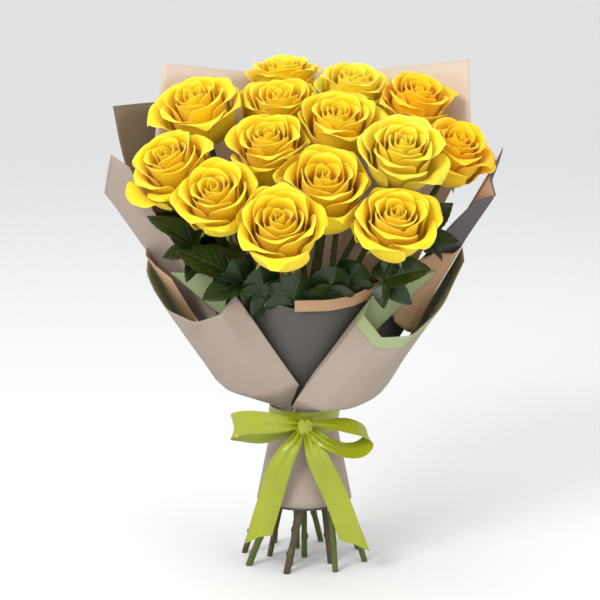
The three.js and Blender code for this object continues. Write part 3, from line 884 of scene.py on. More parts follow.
@dataclass
class Bloom:
    """One open rose: a tight spiral centre in a cup of petals, with reflexed petals outside."""

    number: int
    base: Vector
    axis: Vector
    diameter: float
    seed: int
    openness: float = 0.5
    tone: RoseTone = RoseTone.BRIGHT
    petals: int = 22
    columns: int = 16
    rows: int = 18
    spread: float = 1.1
    thickness: float = 0.5 * MM
    receptacle: float = 0.1
    cup_share: float = 0.66
    lip_steps: int = 14
    give: float = 7 * MM

    @property
    def middle(self) -> Vector:
        """Returns the middle of the bloom."""
        return self.base + self.axis * self.diameter * 0.5

    def shapes(self) -> list[PetalShape]:
        """Works out every petal's sizes, from the tight centre outwards.

        Returns:
            The petals, innermost first.
        """
        chance = np.random.default_rng(self.seed)
        start = chance.uniform(0.0, 2.0 * math.pi)
        made = []
        for index in range(self.petals):
            age = index / (self.petals - 1)
            outer = max(0.0, (age - 0.55) / 0.45)
            openness = self.openness * chance.uniform(0.7, 1.35)
            dip = (0.10 + 0.26 * openness) * outer ** 1.2
            made.append(PetalShape(
                turn=start + index * GOLDEN_ANGLE + chance.uniform(-0.26, 0.26),
                half_angle=math.radians(112.0 - 62.0 * age ** 0.75) * chance.uniform(0.92, 1.1),
                foot_radius=0.02 + 0.06 * age,
                cup_radius=0.05 + 0.80 * age ** 0.9 + chance.uniform(-0.02, 0.02),
                cup_height=1.10 - 0.04 * age - dip + chance.uniform(-0.03, 0.03),
                top_length=0.42 + 0.08 * age + 0.06 * outer,
                lean=math.radians(-15.0 + 30.0 * age + 26.0 * outer * openness),
                curl=math.radians(5.0 + 30.0 * age + 66.0 * outer * openness) * chance.uniform(0.7, 1.3),
                roll=math.radians(10.0 + 48.0 * min(1.0, age * 1.8)) * chance.uniform(0.6, 1.4),
                side_curl=math.radians(2.0 + 14.0 * age + 46.0 * outer) * chance.uniform(0.5, 1.4),
                point=0.02 + 0.10 * outer * chance.uniform(0.3, 1.5),
                wave=0.012 + 0.030 * age,
                spiral=0.012 + 0.03 * age,
                age=age,
                chance=chance.uniform(0.0, 1.0),
                phase=chance.uniform(0.0, 20.0),
            ))
        return made

    def petal_points(self, shape: PetalShape, across: np.ndarray, up: np.ndarray) -> np.ndarray:
        """Shapes one petal round the bloom's own axis.

        Args:
            shape: The petal's sizes.
            across: From -1 to 1 over the petal's width.
            up: From 0 at the foot to 1 at the tip.

        Returns:
            Points in shares of the bloom's radius, with the axis along z.
        """
        up = 1.0 - (1.0 - up) ** 1.3
        crown = np.clip((up - 0.4) / 0.6, 0.0, 1.0)
        side = across * np.sqrt(1.0 - 0.5 * crown ** 2.4)
        rise = up * (1.0 - 0.10 * across ** 2 * crown)
        ripple = np.sin(side * 4.0 + shape.phase) + 0.5 * np.sin(side * 9.0 + shape.phase * 1.7)
        rise = rise + shape.point * np.exp(-(side / 0.13) ** 2) * crown ** 6
        spread = 0.45 + 0.55 * eased(up / 0.55)
        turn = shape.turn + shape.half_angle * side * spread
        bowl = np.clip(rise / self.cup_share, 0.0, 1.0) * math.pi / 2
        radius = shape.foot_radius + (shape.cup_radius - shape.foot_radius) * np.sin(bowl) ** 0.75
        height = self.receptacle + (shape.cup_height - self.receptacle) * (1.0 - np.cos(bowl)) ** 0.82
        over = np.clip((rise - self.cup_share) / (1.0 - self.cup_share), 0.0, 1.25)
        walk = over / self.lip_steps
        for step in range(self.lip_steps):
            share = (step + 0.5) * walk
            angle = shape.lean * np.sqrt(np.clip(share * 1.4, 0.0, 1.0)) + shape.curl * share ** 2.2
            angle = angle + shape.side_curl * side ** 2 * share ** 1.5
            angle = angle + shape.roll * eased((share - 0.7) / 0.3)
            radius = radius + np.sin(angle) * shape.top_length * walk
            height = height + np.cos(angle) * shape.top_length * walk
        radius = radius + shape.spiral * side + shape.wave * ripple * crown ** 2 * 0.8
        height = height + shape.wave * 0.9 * np.cos(side * 5.0 + shape.phase * 2.3) * crown ** 3
        radius = np.maximum(radius, 0.012)
        return np.stack([radius * np.cos(turn), radius * np.sin(turn), height], axis=1) * self.spread

    def press(self, points: np.ndarray, neighbours: Sequence[Neighbour]) -> np.ndarray:
        """Flattens the petals softly where they would pass into the bloom beside them.

        Args:
            points: Points in the frame.
            neighbours: The flats of contact.

        Returns:
            The pressed points.
        """
        for flat in neighbours:
            depth = (points - flat.place) @ flat.normal
            excess = depth + self.give
            held = self.give * (1.0 - np.exp(-excess / self.give))
            pressed = np.where(excess > 0, held, excess) - self.give
            points = points + np.outer(pressed - depth, flat.normal)
        return points

    def build(self, neighbours: Sequence[Neighbour]) -> bpy.types.Object:
        """Copies one blank petal for each petal, shapes the copies and gives them thickness.

        Args:
            neighbours: The flats of contact with the blooms beside it.

        Returns:
            The bloom, on its body.
        """
        blank = blank_sheet(self.columns, self.rows, "petal_uv")
        flat = grid_of(blank)
        across, up = flat[:, 0], flat[:, 1]
        turn = np.array(UPRIGHT.rotation_difference(self.axis).to_matrix())
        radius = self.diameter / 2.0
        build = bmesh.new()
        everything = []
        data = []
        for shape in self.shapes():
            build.from_mesh(blank)
            local = self.petal_points(shape, across, up) * radius
            everything.append(self.press(local @ turn.T + np.array(self.base), neighbours))
            age, chance = np.full_like(up, shape.age), np.full_like(up, shape.chance)
            data.append(np.stack([age, up, chance, np.abs(across)], axis=1))
        mesh = bpy.data.meshes.new(f"rose_{self.number:02d}")
        build.to_mesh(mesh)
        build.free()
        bpy.data.meshes.remove(blank)
        set_grid(mesh, np.concatenate(everything))
        layer = mesh.attributes.new("petal_data", "FLOAT_COLOR", "POINT")
        layer.data.foreach_set("color", np.concatenate(data).astype(np.float32).ravel())
        obj = object_of(f"rose_{self.number:02d}", mesh)
        apply_modifier(obj, "SOLIDIFY", thickness=self.thickness, offset=0.0, use_even_offset=False)
        obj.data.materials.append(STOCK.of(self.tone.value))
        smooth(obj, 60.0)
        return declare(obj, "petal", [f"rose_head_{self.number:02d}"])


@dataclass
class Calyx:
    """The green hip under a bloom, with its five narrow sepals."""

    number: int
    base: Vector
    axis: Vector
    diameter: float
    seed: int
    hip_radius: float = 6.2 * MM
    hip_length: float = 11 * MM
    sepals: int = 5
    sepal_width: float = 4.2 * MM
    sepal_columns: int = 4
    sepal_rows: int = 14
    sepal_thickness: float = 0.7 * MM

    def hip(self) -> bpy.types.Object:
        """Returns the hip, shaped from a ball."""
        hip = ball(segments=16, rings=10)
        for vertex in hip.data.vertices:
            height = vertex.co.z
            waist = 1.0 - 0.22 * max(0.0, height) - 0.3 * max(0.0, -height) ** 2
            vertex.co.x *= self.hip_radius * waist
            vertex.co.y *= self.hip_radius * waist
            vertex.co.z = (height * 0.5 + 0.32) * self.hip_length
        return hip

    def sepal(self, turn: float, length: float, bend: float) -> bpy.types.Object:
        """Shapes one pointed blade that curls away from the bloom.

        Args:
            turn: Its place round the hip.
            length: Its length.
            bend: How far it curls.

        Returns:
            The sepal.
        """
        blank = blank_sheet(self.sepal_columns, self.sepal_rows, "leaf_uv")
        flat = grid_of(blank)
        across, up = flat[:, 0], flat[:, 1]
        width = self.sepal_width * (1.0 - up) ** 0.7 * (1.0 + 0.3 * np.sin(up * 9.0))
        heading = np.radians(38.0) + bend * up ** 1.2
        by_row = (self.sepal_rows + 1, self.sepal_columns + 1)
        step = length / self.sepal_rows
        out = self.hip_radius * 0.8 + np.cumsum(np.sin(heading).reshape(by_row), axis=0).ravel() * step
        lift = self.hip_length * 0.7 + np.cumsum(np.cos(heading).reshape(by_row), axis=0).ravel() * step
        sideways = across * width
        out = out - 0.25 * np.abs(across) * width
        set_grid(blank, np.stack([
            out * math.cos(turn) - sideways * math.sin(turn),
            out * math.sin(turn) + sideways * math.cos(turn),
            lift,
        ], axis=1))
        sepal = object_of("sepal", blank)
        apply_modifier(sepal, "SOLIDIFY", thickness=self.sepal_thickness, offset=0.0)
        return sepal

    def build(self) -> bpy.types.Object:
        """Joins five sepals to the hip and sets them under the bloom.

        Returns:
            The calyx, on its body.
        """
        chance = np.random.default_rng(self.seed + 500)
        hip = self.hip()
        for index in range(self.sepals):
            sepal = self.sepal(
                turn=2.0 * math.pi * (index + chance.uniform(-0.1, 0.1)) / self.sepals,
                length=self.diameter * chance.uniform(0.3, 0.42),
                bend=chance.uniform(0.9, 2.1),
            )
            work_on(hip)
            sepal.select_set(True)
            bpy.ops.object.join()
        turn = UPRIGHT.rotation_difference(self.axis).to_matrix().to_4x4()
        hip.data.transform(Matrix.Translation(self.base) @ turn)
        hip.name = f"calyx_{self.number:02d}"
        hip.data.materials.clear()
        hip.data.materials.append(STOCK.of(LeafFinish(
            "sepal_green", Tint.display(128, 148, 70), Tint.display(176, 190, 120), 0.55,
        )))
        smooth(hip, 50.0)
        return declare(hip, "leaf")


# ---- leaves --------------------------------------------------------------------------------------
@dataclass
class RoseLeaf:
    """A serrated rose leaf of one large and four smaller leaflets."""

    node: str
    seed: int
    columns: int = 10
    rows: int = 30
    teeth: float = 0.055
    quilting: float = 0.6 * MM
    thickness: float = 0.5 * MM

    def leaflet(
        self, base: Vector, forward: Vector, up: Vector, length: float, width: float, sag: float,
    ) -> bpy.types.Mesh:
        """Shapes one serrated leaflet.

        Args:
            base: Where the blade starts.
            forward: The way it points.
            up: The way its upper side faces.
            length: The blade's length.
            width: The blade's greatest width.
            sag: How far the tip droops, as a share of the length.

        Returns:
            The leaflet's mesh.
        """
        mesh = blank_sheet(self.columns, self.rows, "leaf_uv")
        flat = grid_of(mesh)
        across, along = flat[:, 0], flat[:, 1]
        row = np.rint(along * self.rows)
        outline = np.sin(math.pi * np.clip(along, 0.0, 1.0) ** 0.82) ** 0.78
        outline = np.maximum(outline, 0.03)
        tooth = 1.0 + self.teeth * np.where(row % 3 == 0, 1.0, -0.4) * np.abs(across) ** 3
        side = forward.cross(up).normalized()
        reach = across * width / 2 * outline * tooth
        fold = 0.28 * np.abs(reach) + 0.05 * length * np.sin(along * 6.0 + self.seed) * across ** 2
        quilt = self.quilting * np.sin((along - np.abs(across) * 0.3) * VEIN_PITCH) * (1.0 - across ** 2)
        droop = -sag * length * along ** 2
        points = (
            np.array(base) + np.outer(along * length, np.array(forward))
            + np.outer(reach, np.array(side)) + np.outer(fold + quilt + droop, np.array(up))
        )
        set_grid(mesh, points)
        return mesh

    def build(self) -> bpy.types.Object:
        """Places the leaflets along the solid leaf that they stand for.

        Returns:
            The leaf, on its body.
        """
        chance = np.random.default_rng(self.seed)
        points = node_points(self.node)
        centre = points.mean(axis=0)
        _, _, axes = np.linalg.svd(points - centre, full_matrices=False)
        spread = (points - centre) @ axes[0]
        ends = [Vector(points[spread.argmin()]), Vector(points[spread.argmax()])]
        ends.sort(key=lambda end: math.hypot(end.x - CENTRE.x, end.y - CENTRE.y))
        base, tip = ends
        forward = (tip - base).normalized()
        up = Vector(axes[2])
        up = up if up.z > 0 else -up
        up = (up - forward * up.dot(forward)).normalized()
        length = (tip - base).length
        side = forward.cross(up).normalized()
        sizes = np.abs((points - centre) @ axes[1])
        width = 2.0 * float(sizes.max())
        meshes = [self.leaflet(base, forward, up, length * 1.08, width * 1.2, 0.14)]
        for way in (-1.0, 1.0):
            for turn, reach, drop in ((0.62, 0.82, 0.0), (-0.25, 0.7, 2 * MM)):
                sideways = side * way * math.sqrt(1.0 - turn * turn)
                lift = up * 0.3 * chance.uniform(-1.0, 1.0)
                heading = (forward * turn + sideways + lift).normalized()
                facing = (up - heading * up.dot(heading)).normalized()
                start = base + forward * length * 0.02 - up * (1.5 * MM + drop)
                size = chance.uniform(0.85, 1.15)
                meshes.append(self.leaflet(start, heading, facing, length * reach * size, width * 0.74, 0.2))
        build = bmesh.new()
        for mesh in meshes:
            build.from_mesh(mesh)
        joined = bpy.data.meshes.new(self.node)
        build.to_mesh(joined)
        build.free()
        for mesh in meshes:
            bpy.data.meshes.remove(mesh)
        obj = object_of(f"rose_{self.node}", joined)
        apply_modifier(obj, "SOLIDIFY", thickness=self.thickness, offset=0.0)
        obj.data.materials.append(STOCK.of(LeafFinish(
            "leaf_green", Tint.display(32, 53, 18), Tint.display(66, 92, 42), 0.34,
        )))
        smooth(obj, 50.0)
        return declare(obj, "leaf", [self.node])


# ---- paper wrap ----------------------------------------------------------------------------------
@dataclass
class PaperSheet:
    """One sheet of the wrap: the solid sheet made fine and smooth, with the soft buckles of paper."""

    node: str
    slot: str
    outside: PaperTone
    inside: PaperTone
    levels: int = 3
    buckle: float = 1.6 * MM
    pleats: float = 1.2 * MM
    pleat_height: float = 35 * MM
    free_above: float = 50 * MM
    corner_angle: float = 24.0
    rim_bend: float = 60.0
    lift: float = 0.0
    edge_width: float = 1.2 * MM
    fold_crease: float = 0.6
    cuff: float = 0.0
    cuff_tone: PaperTone = PaperTone.SAGE
    cuff_above: float = 60 * MM

    @property
    def name(self) -> str:
        """Returns the finished piece's name."""
        return "paper_" + self.node.removeprefix("wrap_").removesuffix("_sheet")

    def build(self) -> bpy.types.Object:
        """Copies the solid sheet, tells its two sides apart, refines it and buckles it.

        Returns:
            The sheet, on its body.
        """
        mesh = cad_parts[self.node].data.copy()
        obj = object_of(self.name, mesh)
        work_on(obj)
        bpy.ops.object.mode_set(mode="EDIT")
        bpy.ops.mesh.select_all(action="SELECT")
        bpy.ops.mesh.remove_doubles(threshold=2 * SEAM_GAP)
        bpy.ops.mesh.tris_convert_to_quads(face_threshold=math.radians(50), shape_threshold=math.radians(100))
        bpy.ops.object.mode_set(mode="OBJECT")
        self.mark_sides(mesh)
        apply_modifier(obj, "SUBSURF", levels=self.levels, render_levels=self.levels)
        self.shape(obj)
        smooth(obj, 60.0)
        return declare(obj, self.slot, [self.node])

    def mark_sides(self, mesh: bpy.types.Mesh) -> None:
        """Paints the two sides of the sheet and creases its corners.

        Args:
            mesh: The sheet's coarse mesh.
        """
        mesh.materials.clear()
        outer = CuffedPaper("paper_cuffed", self.outside.value.colour, cuff=self.cuff_tone.value.colour)
        mesh.materials.append(STOCK.of(outer if self.cuff > 0.0 else self.outside.value))
        mesh.materials.append(STOCK.of(self.inside.value))
        mesh.materials.append(STOCK.of(self.outside.value))
        build = bmesh.new()
        build.from_mesh(mesh)
        build.faces.ensure_lookup_table()
        crease = build.verts.layers.float.new("crease_vert")
        sharp = build.edges.layers.float.new("crease_edge")
        self.paint_sides(build)
        for edge in build.edges:
            bend = math.degrees(edge.calc_face_angle(math.pi))
            fold = self.fold_crease * max(0.0, min(1.0, (bend - 14.0) / 24.0))
            edge[sharp] = 1.0 if bend > self.rim_bend else fold
        for vertex in build.verts:
            if self.corner_turn(vertex) > self.corner_angle:
                vertex[crease] = 1.0
        build.to_mesh(mesh)
        build.free()

    def paint_sides(self, build: bmesh.types.BMesh) -> None:
        """Gives each side of the sheet its paper; the narrow faces of its cut edges keep the outer one.

        Args:
            build: The sheet's coarse mesh.
        """
        thin = {
            face for face in build.faces
            if min(edge.calc_length() for edge in face.edges) < self.edge_width
        }
        seen = set(thin)
        for start in build.faces:
            if start in seen:
                continue
            seen.add(start)
            side = [start]
            for face in side:
                for edge in face.edges:
                    fresh = [other for other in edge.link_faces if other not in seen]
                    seen.update(fresh)
                    side.extend(fresh)
            outward = sum(self.outward_area(face) for face in side)
            for face in side:
                face.material_index = 0 if outward > 0 else 1
        for face in thin:
            face.material_index = 2

    def outward_area(self, face: bmesh.types.BMFace) -> float:
        """Returns how much of a face looks away from the middle of the bundle."""
        place = face.calc_center_median()
        middle = Vector((CENTRE.x, CENTRE.y, place.z))
        return face.normal.dot(place - middle) * face.calc_area()

    def corner_turn(self, vertex: bmesh.types.BMVert) -> float:
        """Tells how sharply the sheet's outline turns at a point.

        Args:
            vertex: The point.

        Returns:
            The turn in degrees, or 0 away from the outline.
        """
        rims = [
            edge for edge in vertex.link_edges
            if edge.calc_face_angle(0.0) > math.radians(self.rim_bend) and edge.calc_length() > 1.5 * MM
        ]
        if len(rims) != 2:
            return 0.0
        first, second = ((edge.other_vert(vertex).co - vertex.co).normalized() for edge in rims)
        return math.degrees(first.angle(-second))

    def shape(self, obj: bpy.types.Object) -> None:
        """Buckles the sheet a little and gathers it into pleats near the ribbon.

        Args:
            obj: The refined sheet.
        """
        mesh = obj.data
        points = grid_of(mesh)
        moved = points.copy()
        for index, point in enumerate(points):
            free = min(1.0, max(0.0, (point[2] - COLLAR_Z) / self.free_above))
            if free <= 0.0:
                continue
            away = Vector((point[0] - CENTRE.x, point[1] - CENTRE.y, 0.0)).normalized()
            angle = math.atan2(away.y, away.x)
            where = Vector(point)
            waves = noise.noise(where * 9.0) + 0.35 * noise.noise(where * 26.0)
            near = math.exp(-((point[2] - COLLAR_Z) / self.pleat_height) ** 2) * free
            pleat = math.sin(angle * 19.0 + 3.0 * noise.noise(where * 12.0)) * self.pleats * near
            push = (waves * self.buckle + self.lift) * free + pleat
            moved[index] = point + np.array(away) * push
        set_grid(mesh, moved)
        if self.cuff > 0.0:
            self.turn_cuff(obj)

    def turn_cuff(self, obj: bpy.types.Object) -> None:
        """Writes each point's distance from the upper rim, in cuff widths, for the turned-out cuff.

        Args:
            obj: The refined sheet.
        """
        mesh = obj.data
        points = grid_of(mesh)
        rim = [face.center for face in mesh.polygons if face.material_index == 2 and face.normal.z > 0.4]
        rim = np.array([list(point) for point in rim if point[2] > COLLAR_Z + self.cuff_above])
        apart = np.array([lengths(rim - point).min() for point in points])
        layer = mesh.attributes.new("cuff", "FLOAT", "POINT")
        layer.data.foreach_set("value", (apart / self.cuff).astype(np.float32))


# ---- ribbon --------------------------------------------------------------------------------------
@dataclass
class RibbonStretch:
    """One stretch of the satin ribbon, laid along a path with gathers where it enters the knot."""

    node: str
    name: str
    path: Sequence[tuple[float, float, float]]
    widths: Sequence[float]
    facing: Sequence[tuple[float, float, float]]
    gathers: Sequence[float]
    full_width: float = 25 * MM
    columns: int = 16
    rows: int = 72
    thickness: float = 0.4 * MM
    gather_depth: float = 2.2 * MM
    cup: float = 0.0
    slant: float = 0.0
    held: str = "folded"

    def curve(self, values: Sequence[Sequence[float]], shares: np.ndarray) -> np.ndarray:
        """Runs a smooth curve through values given at even steps.

        Args:
            values: The rows of values.
            shares: Where to read them, from 0 to 1.

        Returns:
            A row of values for each share.
        """
        rows = np.array([np.atleast_1d(value) for value in values], dtype=float)
        count = len(rows)
        place = np.clip(shares, 0.0, 1.0) * (count - 1)
        index = np.minimum(place.astype(int), count - 2)
        part = (place - index)[:, None]
        before = rows[np.maximum(index - 1, 0)]
        start = rows[index]
        end = rows[index + 1]
        after = rows[np.minimum(index + 2, count - 1)]
        return 0.5 * (
            2 * start + (end - before) * part + (2 * before - 5 * start + 4 * end - after) * part ** 2
            + (3 * start - before - 3 * end + after) * part ** 3
        )

    def build(self) -> bpy.types.Object:
        """Shapes a flat strip along the path and gives it thickness.

        Returns:
            The stretch, on its body.
        """
        mesh = blank_sheet(self.columns, self.rows, "ribbon_uv")
        flat = grid_of(mesh)
        across, along = flat[:, 0], flat[:, 1]
        shares = along + self.slant * across * np.clip(along * 3.0 - 2.0, 0.0, 1.0)
        middle = self.curve(self.path, shares)
        spot = np.clip(shares, 0.0, 1.0)
        after, before = np.minimum(spot + 0.01, 1.0), np.maximum(spot - 0.01, 0.0)
        ahead = self.curve(self.path, after) - self.curve(self.path, before)
        ahead /= lengths(ahead)[:, None]
        over = np.clip(shares - 1.0, 0.0, None)
        run = lengths(np.diff(np.array(self.path), axis=0)).sum()
        middle = middle + ahead * (over * run)[:, None]
        side = self.curve(self.facing, shares)
        side -= ahead * (side * ahead).sum(axis=1)[:, None]
        side /= lengths(side)[:, None]
        normal = np.cross(side, ahead)
        width = self.curve(self.widths, shares)[:, 0] * self.full_width
        gather = self.curve(self.gathers, shares)[:, 0]
        fold = np.sin(across * 7.5) * self.gather_depth * gather
        fold = fold + self.cup * (across ** 2 - 0.4) * width * (1.0 - gather)
        points = middle + side * (across * width / 2)[:, None] + normal * fold[:, None]
        set_grid(mesh, points)
        obj = object_of(self.name, mesh)
        apply_modifier(obj, "SOLIDIFY", thickness=self.thickness, offset=0.0)
        close_up(obj)
        obj.data.materials.append(STOCK.of(SATIN))
        smooth(obj, 60.0)
        declare(obj, "satin_ribbon", [self.node])
        return obj


@dataclass
class Bow:
    """The ribbon round the neck, its knot, two loops and two tails."""

    band_thickness: float = 0.5 * MM
    band_crease: float = 0.5 * MM
    knot_fullness: float = 0.8
    knot_forward: float = 3 * MM
    tail_gathers: tuple[float, ...] = (1.0, 0.8, 0.4, 0.1, 0.0, 0.0, 0.0)
    tail_cup: float = 0.04

    def build(self) -> None:
        """Builds every stretch of the ribbon."""
        self.band()
        self.knot()
        self.loops()
        self.tails()

    def band(self) -> None:
        """Dresses a fine copy of the band round the neck, with soft gathers."""
        radius = (BAND_HIGH[0] - BAND_LOW[0]) / 2
        width = BAND_HIGH[2] - BAND_LOW[2]
        mesh = blank_sheet(96, 12, "ribbon_uv")
        flat = grid_of(mesh)
        turn = flat[:, 0] * math.pi - math.pi / 2
        crease = np.sin(flat[:, 1] * 11.0 + np.sin(turn * 2.0) * 1.6) * self.band_crease
        reach = radius - self.band_thickness + crease
        height = BAND_LOW[2] + flat[:, 1] * width
        round_neck = [CENTRE.x + reach * np.cos(turn), CENTRE.y + reach * np.sin(turn), height]
        set_grid(mesh, np.stack(round_neck, axis=1))
        obj = object_of("ribbon_round_neck", mesh)
        close_up(obj, seam=True)
        apply_modifier(obj, "SOLIDIFY", thickness=self.band_thickness, offset=0.0)
        obj.data.materials.append(STOCK.of(SATIN))
        smooth(obj, 60.0)
        declare(obj, "satin_ribbon", ["ribbon_band"])
        flat = (width, 2.0 * math.pi * radius)

    def knot(self) -> None:
        """Wraps the knot: a rounded block with the folds of the ribbon pulled tight round it."""
        low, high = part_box("ribbon_knot")
        middle = Vector([(a + b) / 2 for a, b in zip(low, high)])
        half = Vector([(b - a) / 2 for a, b in zip(low, high)])
        middle = middle - Vector((0.0, self.knot_forward, 0.0))
        obj = ball(segments=48, rings=28)
        for vertex in obj.data.vertices:
            spot = vertex.co.normalized()
            fold = self.knot_fullness * (1.0 + 0.08 * math.sin(spot.x * 10.0 + spot.z * 4.0))
            square = [math.copysign(abs(part) ** 0.72, part) for part in spot]
            vertex.co = middle + Vector([part * size * fold for part, size in zip(square, half)])
        obj.name = "ribbon_tied_knot"
        obj.data.uv_layers[0].name = "ribbon_uv"
        obj.data.materials.append(STOCK.of(SATIN))
        smooth(obj, 70.0)
        declare(obj, "satin_ribbon", ["ribbon_knot"])

    def loops(self) -> None:
        """Builds the two loops of the bow: the left one lies flat and the right one stands open."""
        RibbonStretch(
            node="ribbon_loop_left", name="ribbon_bow_left",
            path=self.from_knot([
                (-3, -3, 3), (-18, -13, 6), (-42, -19, 9), (-62, -19, 9), (-73, -10, 3),
                (-66, -1, -5), (-44, 2, -9), (-20, 2, -4), (-3, 1, 1),
            ]),
            widths=[0.34, 0.66, 0.92, 1.0, 1.0, 1.0, 0.92, 0.66, 0.34],
            facing=[(0.0, 0.1, 1.0)] * 4 + [(-0.1, 0.0, 1.0)] + [(0.0, -0.35, 1.0)] * 4,
            gathers=[1.0, 0.6, 0.15, 0.0, 0.0, 0.0, 0.15, 0.6, 1.0],
        ).build()
        RibbonStretch(
            node="ribbon_loop_right", name="ribbon_bow_right",
            path=self.from_knot([
                (3, -4, 2), (20, -10, 6), (42, -13, 5), (60, -12, -1), (67, -11, -11),
                (58, -11, -21), (42, -12, -22), (22, -11, -14), (4, -5, -3),
            ]),
            widths=[0.34, 0.7, 0.95, 1.0, 1.0, 1.0, 0.95, 0.7, 0.34],
            facing=[(0.1, -0.6, 0.8), (0.2, -0.85, -0.1)] + [(0.25, -0.86, -0.42)] * 5
            + [(0.1, -0.85, -0.5), (0.1, -0.6, -0.8)],
            gathers=[1.0, 0.5, 0.1, 0.0, 0.0, 0.0, 0.1, 0.5, 1.0],
        ).build()

    def tails(self) -> None:
        """Builds the two hanging tails with their slanting ends."""
        RibbonStretch(
            node="ribbon_tail_left", name="ribbon_end_left",
            path=self.from_knot([
                (-3, -4, -3), (-10, -11, -14), (-19, -14, -27), (-27, -12, -45), (-35, -9, -74),
                (-44, -11, -104), (-47, -13, -116),
            ]),
            widths=[0.34, 0.62, 0.88, 1.0, 1.02, 1.02, 1.02],
            facing=[(1.0, 0.25, 0.2), (1.0, 0.2, 0.2), (1.0, 0.1, 0.1)] + [(1.0, 0.05, 0.0)] * 4,
            gathers=self.tail_gathers, cup=self.tail_cup, slant=-0.085, held="hung",
        ).build()
        RibbonStretch(
            node="ribbon_tail_right", name="ribbon_end_right",
            path=self.from_knot([
                (3, -5, -3), (8, -13, -14), (13, -16, -28), (21, -14, -46), (34, -10, -76),
                (45, -11, -106), (52, -13, -124),
            ]),
            widths=[0.34, 0.66, 0.9, 1.0, 1.02, 1.02, 1.02],
            facing=[(1.0, -0.25, -0.2), (1.0, -0.2, -0.1), (1.0, -0.1, 0.0)] + [(1.0, -0.05, 0.1)] * 4,
            gathers=self.tail_gathers, cup=self.tail_cup, slant=0.1, held="hung",
        ).build()

    def from_knot(self, offsets: Sequence[tuple[float, float, float]]) -> list[tuple[float, float, float]]:
        """Places offsets from the knot's middle in the frame.

        Args:
            offsets: Millimetres to the right, back and up from the knot's middle.

        Returns:
            The places in metres.
        """
        low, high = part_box("ribbon_knot")
        middle = [(a + b) / 2 for a, b in zip(low, high)]
        return [tuple(at + part * MM for at, part in zip(middle, offset)) for offset in offsets]


# ---- studio --------------------------------------------------------------------------------------
@dataclass
class Studio:
    """A seamless pale floor, soft lights and the camera."""

    camera_rise: float = 12.0
    camera_distance: float = 2.2
    lens: float = 125.7
    sensor: float = 36.0
    aim: Vector = field(default_factory=lambda: Vector((-2.6 * MM, CENTRE.y, 0.283)))
    floor_half_width: float = 9.0
    floor_length: float = 16.0
    floor_front: float = 5.0
    level_run: float = 8.0
    bend_radius: float = 3.0
    floor_tint: Tint = Tint(0.86, 0.865, 0.87)
    surround: float = 0.8

    def build(self) -> None:
        """Sets up the floor, the lights and the camera."""
        self.sweep()
        self.lights()
        self.camera()
        bpy.context.scene.view_settings.view_transform = "Standard"

    def sweep(self) -> None:
        """Makes a large floor that rises into a backdrop far behind."""
        bpy.ops.object.select_all(action="DESELECT")
        bpy.ops.mesh.primitive_grid_add(x_subdivisions=4, y_subdivisions=60, size=2.0)
        floor = bpy.context.object
        floor.name = "studio_floor"
        for vertex in floor.data.vertices:
            run = (vertex.co.y + 1.0) / 2.0 * self.floor_length
            bend = max(0.0, run - self.level_run)
            angle = min(bend / self.bend_radius, math.pi / 2)
            rise = self.bend_radius * (1.0 - math.cos(angle))
            vertex.co.x *= self.floor_half_width
            vertex.co.y = run - self.floor_front - bend + self.bend_radius * math.sin(angle)
            vertex.co.z = rise + max(0.0, bend - self.bend_radius * math.pi / 2)
        made, bench = NodeBench.for_material("studio_white")
        values = {"Base Color": self.floor_tint.rgba(), "Roughness": 0.9}
        shader = bench.add("ShaderNodeBsdfPrincipled", values)
        bench.add("ShaderNodeOutputMaterial", {"Surface": shader.outputs[0]})
        floor.data.materials.append(made)
        smooth(floor)

    def lights(self) -> None:
        """Hangs a broad key light, a fill and an even surround."""
        self.panel("key", (-1.4, -1.8, 1.9), 1.1, 42.0)
        self.panel("fill", (1.7, -1.7, 1.0), 1.8, 12.0)
        self.panel("top", (-0.3, 0.3, 2.6), 1.6, 12.0)
        world = bpy.data.worlds.new("studio_air")
        bpy.context.scene.world = world
        world.use_nodes = True
        air = world.node_tree.nodes["Background"]
        air.inputs["Color"].default_value = (1.0, 1.0, 1.0, 1.0)
        air.inputs["Strength"].default_value = self.surround

    def panel(self, name: str, place: tuple[float, float, float], size: float, power: float) -> None:
        """Hangs one soft light aimed at the bouquet.

        Args:
            name: The light's name.
            place: Where it hangs.
            size: Its side.
            power: Its power in watts.
        """
        light = bpy.data.lights.new(name, "AREA")
        light.size = size
        light.energy = power
        obj = bpy.data.objects.new(name, light)
        obj.location = place
        aim = Vector((0.0, 0.0, self.aim.z)) - Vector(place)
        obj.rotation_euler = aim.to_track_quat("-Z", "Y").to_euler()
        bpy.context.collection.objects.link(obj)

    def camera(self) -> None:
        """Places the camera in front, looking slightly down."""
        rise = math.radians(self.camera_rise)
        back = Vector((0.0, -math.cos(rise), math.sin(rise)))
        data = bpy.data.cameras.new("camera")
        data.sensor_width = self.sensor
        data.lens = self.lens
        obj = bpy.data.objects.new("camera", data)
        obj.location = self.aim + back * self.camera_distance
        obj.rotation_euler = (-back).to_track_quat("-Z", "Y").to_euler()
        bpy.context.collection.objects.link(obj)
        bpy.context.scene.camera = obj


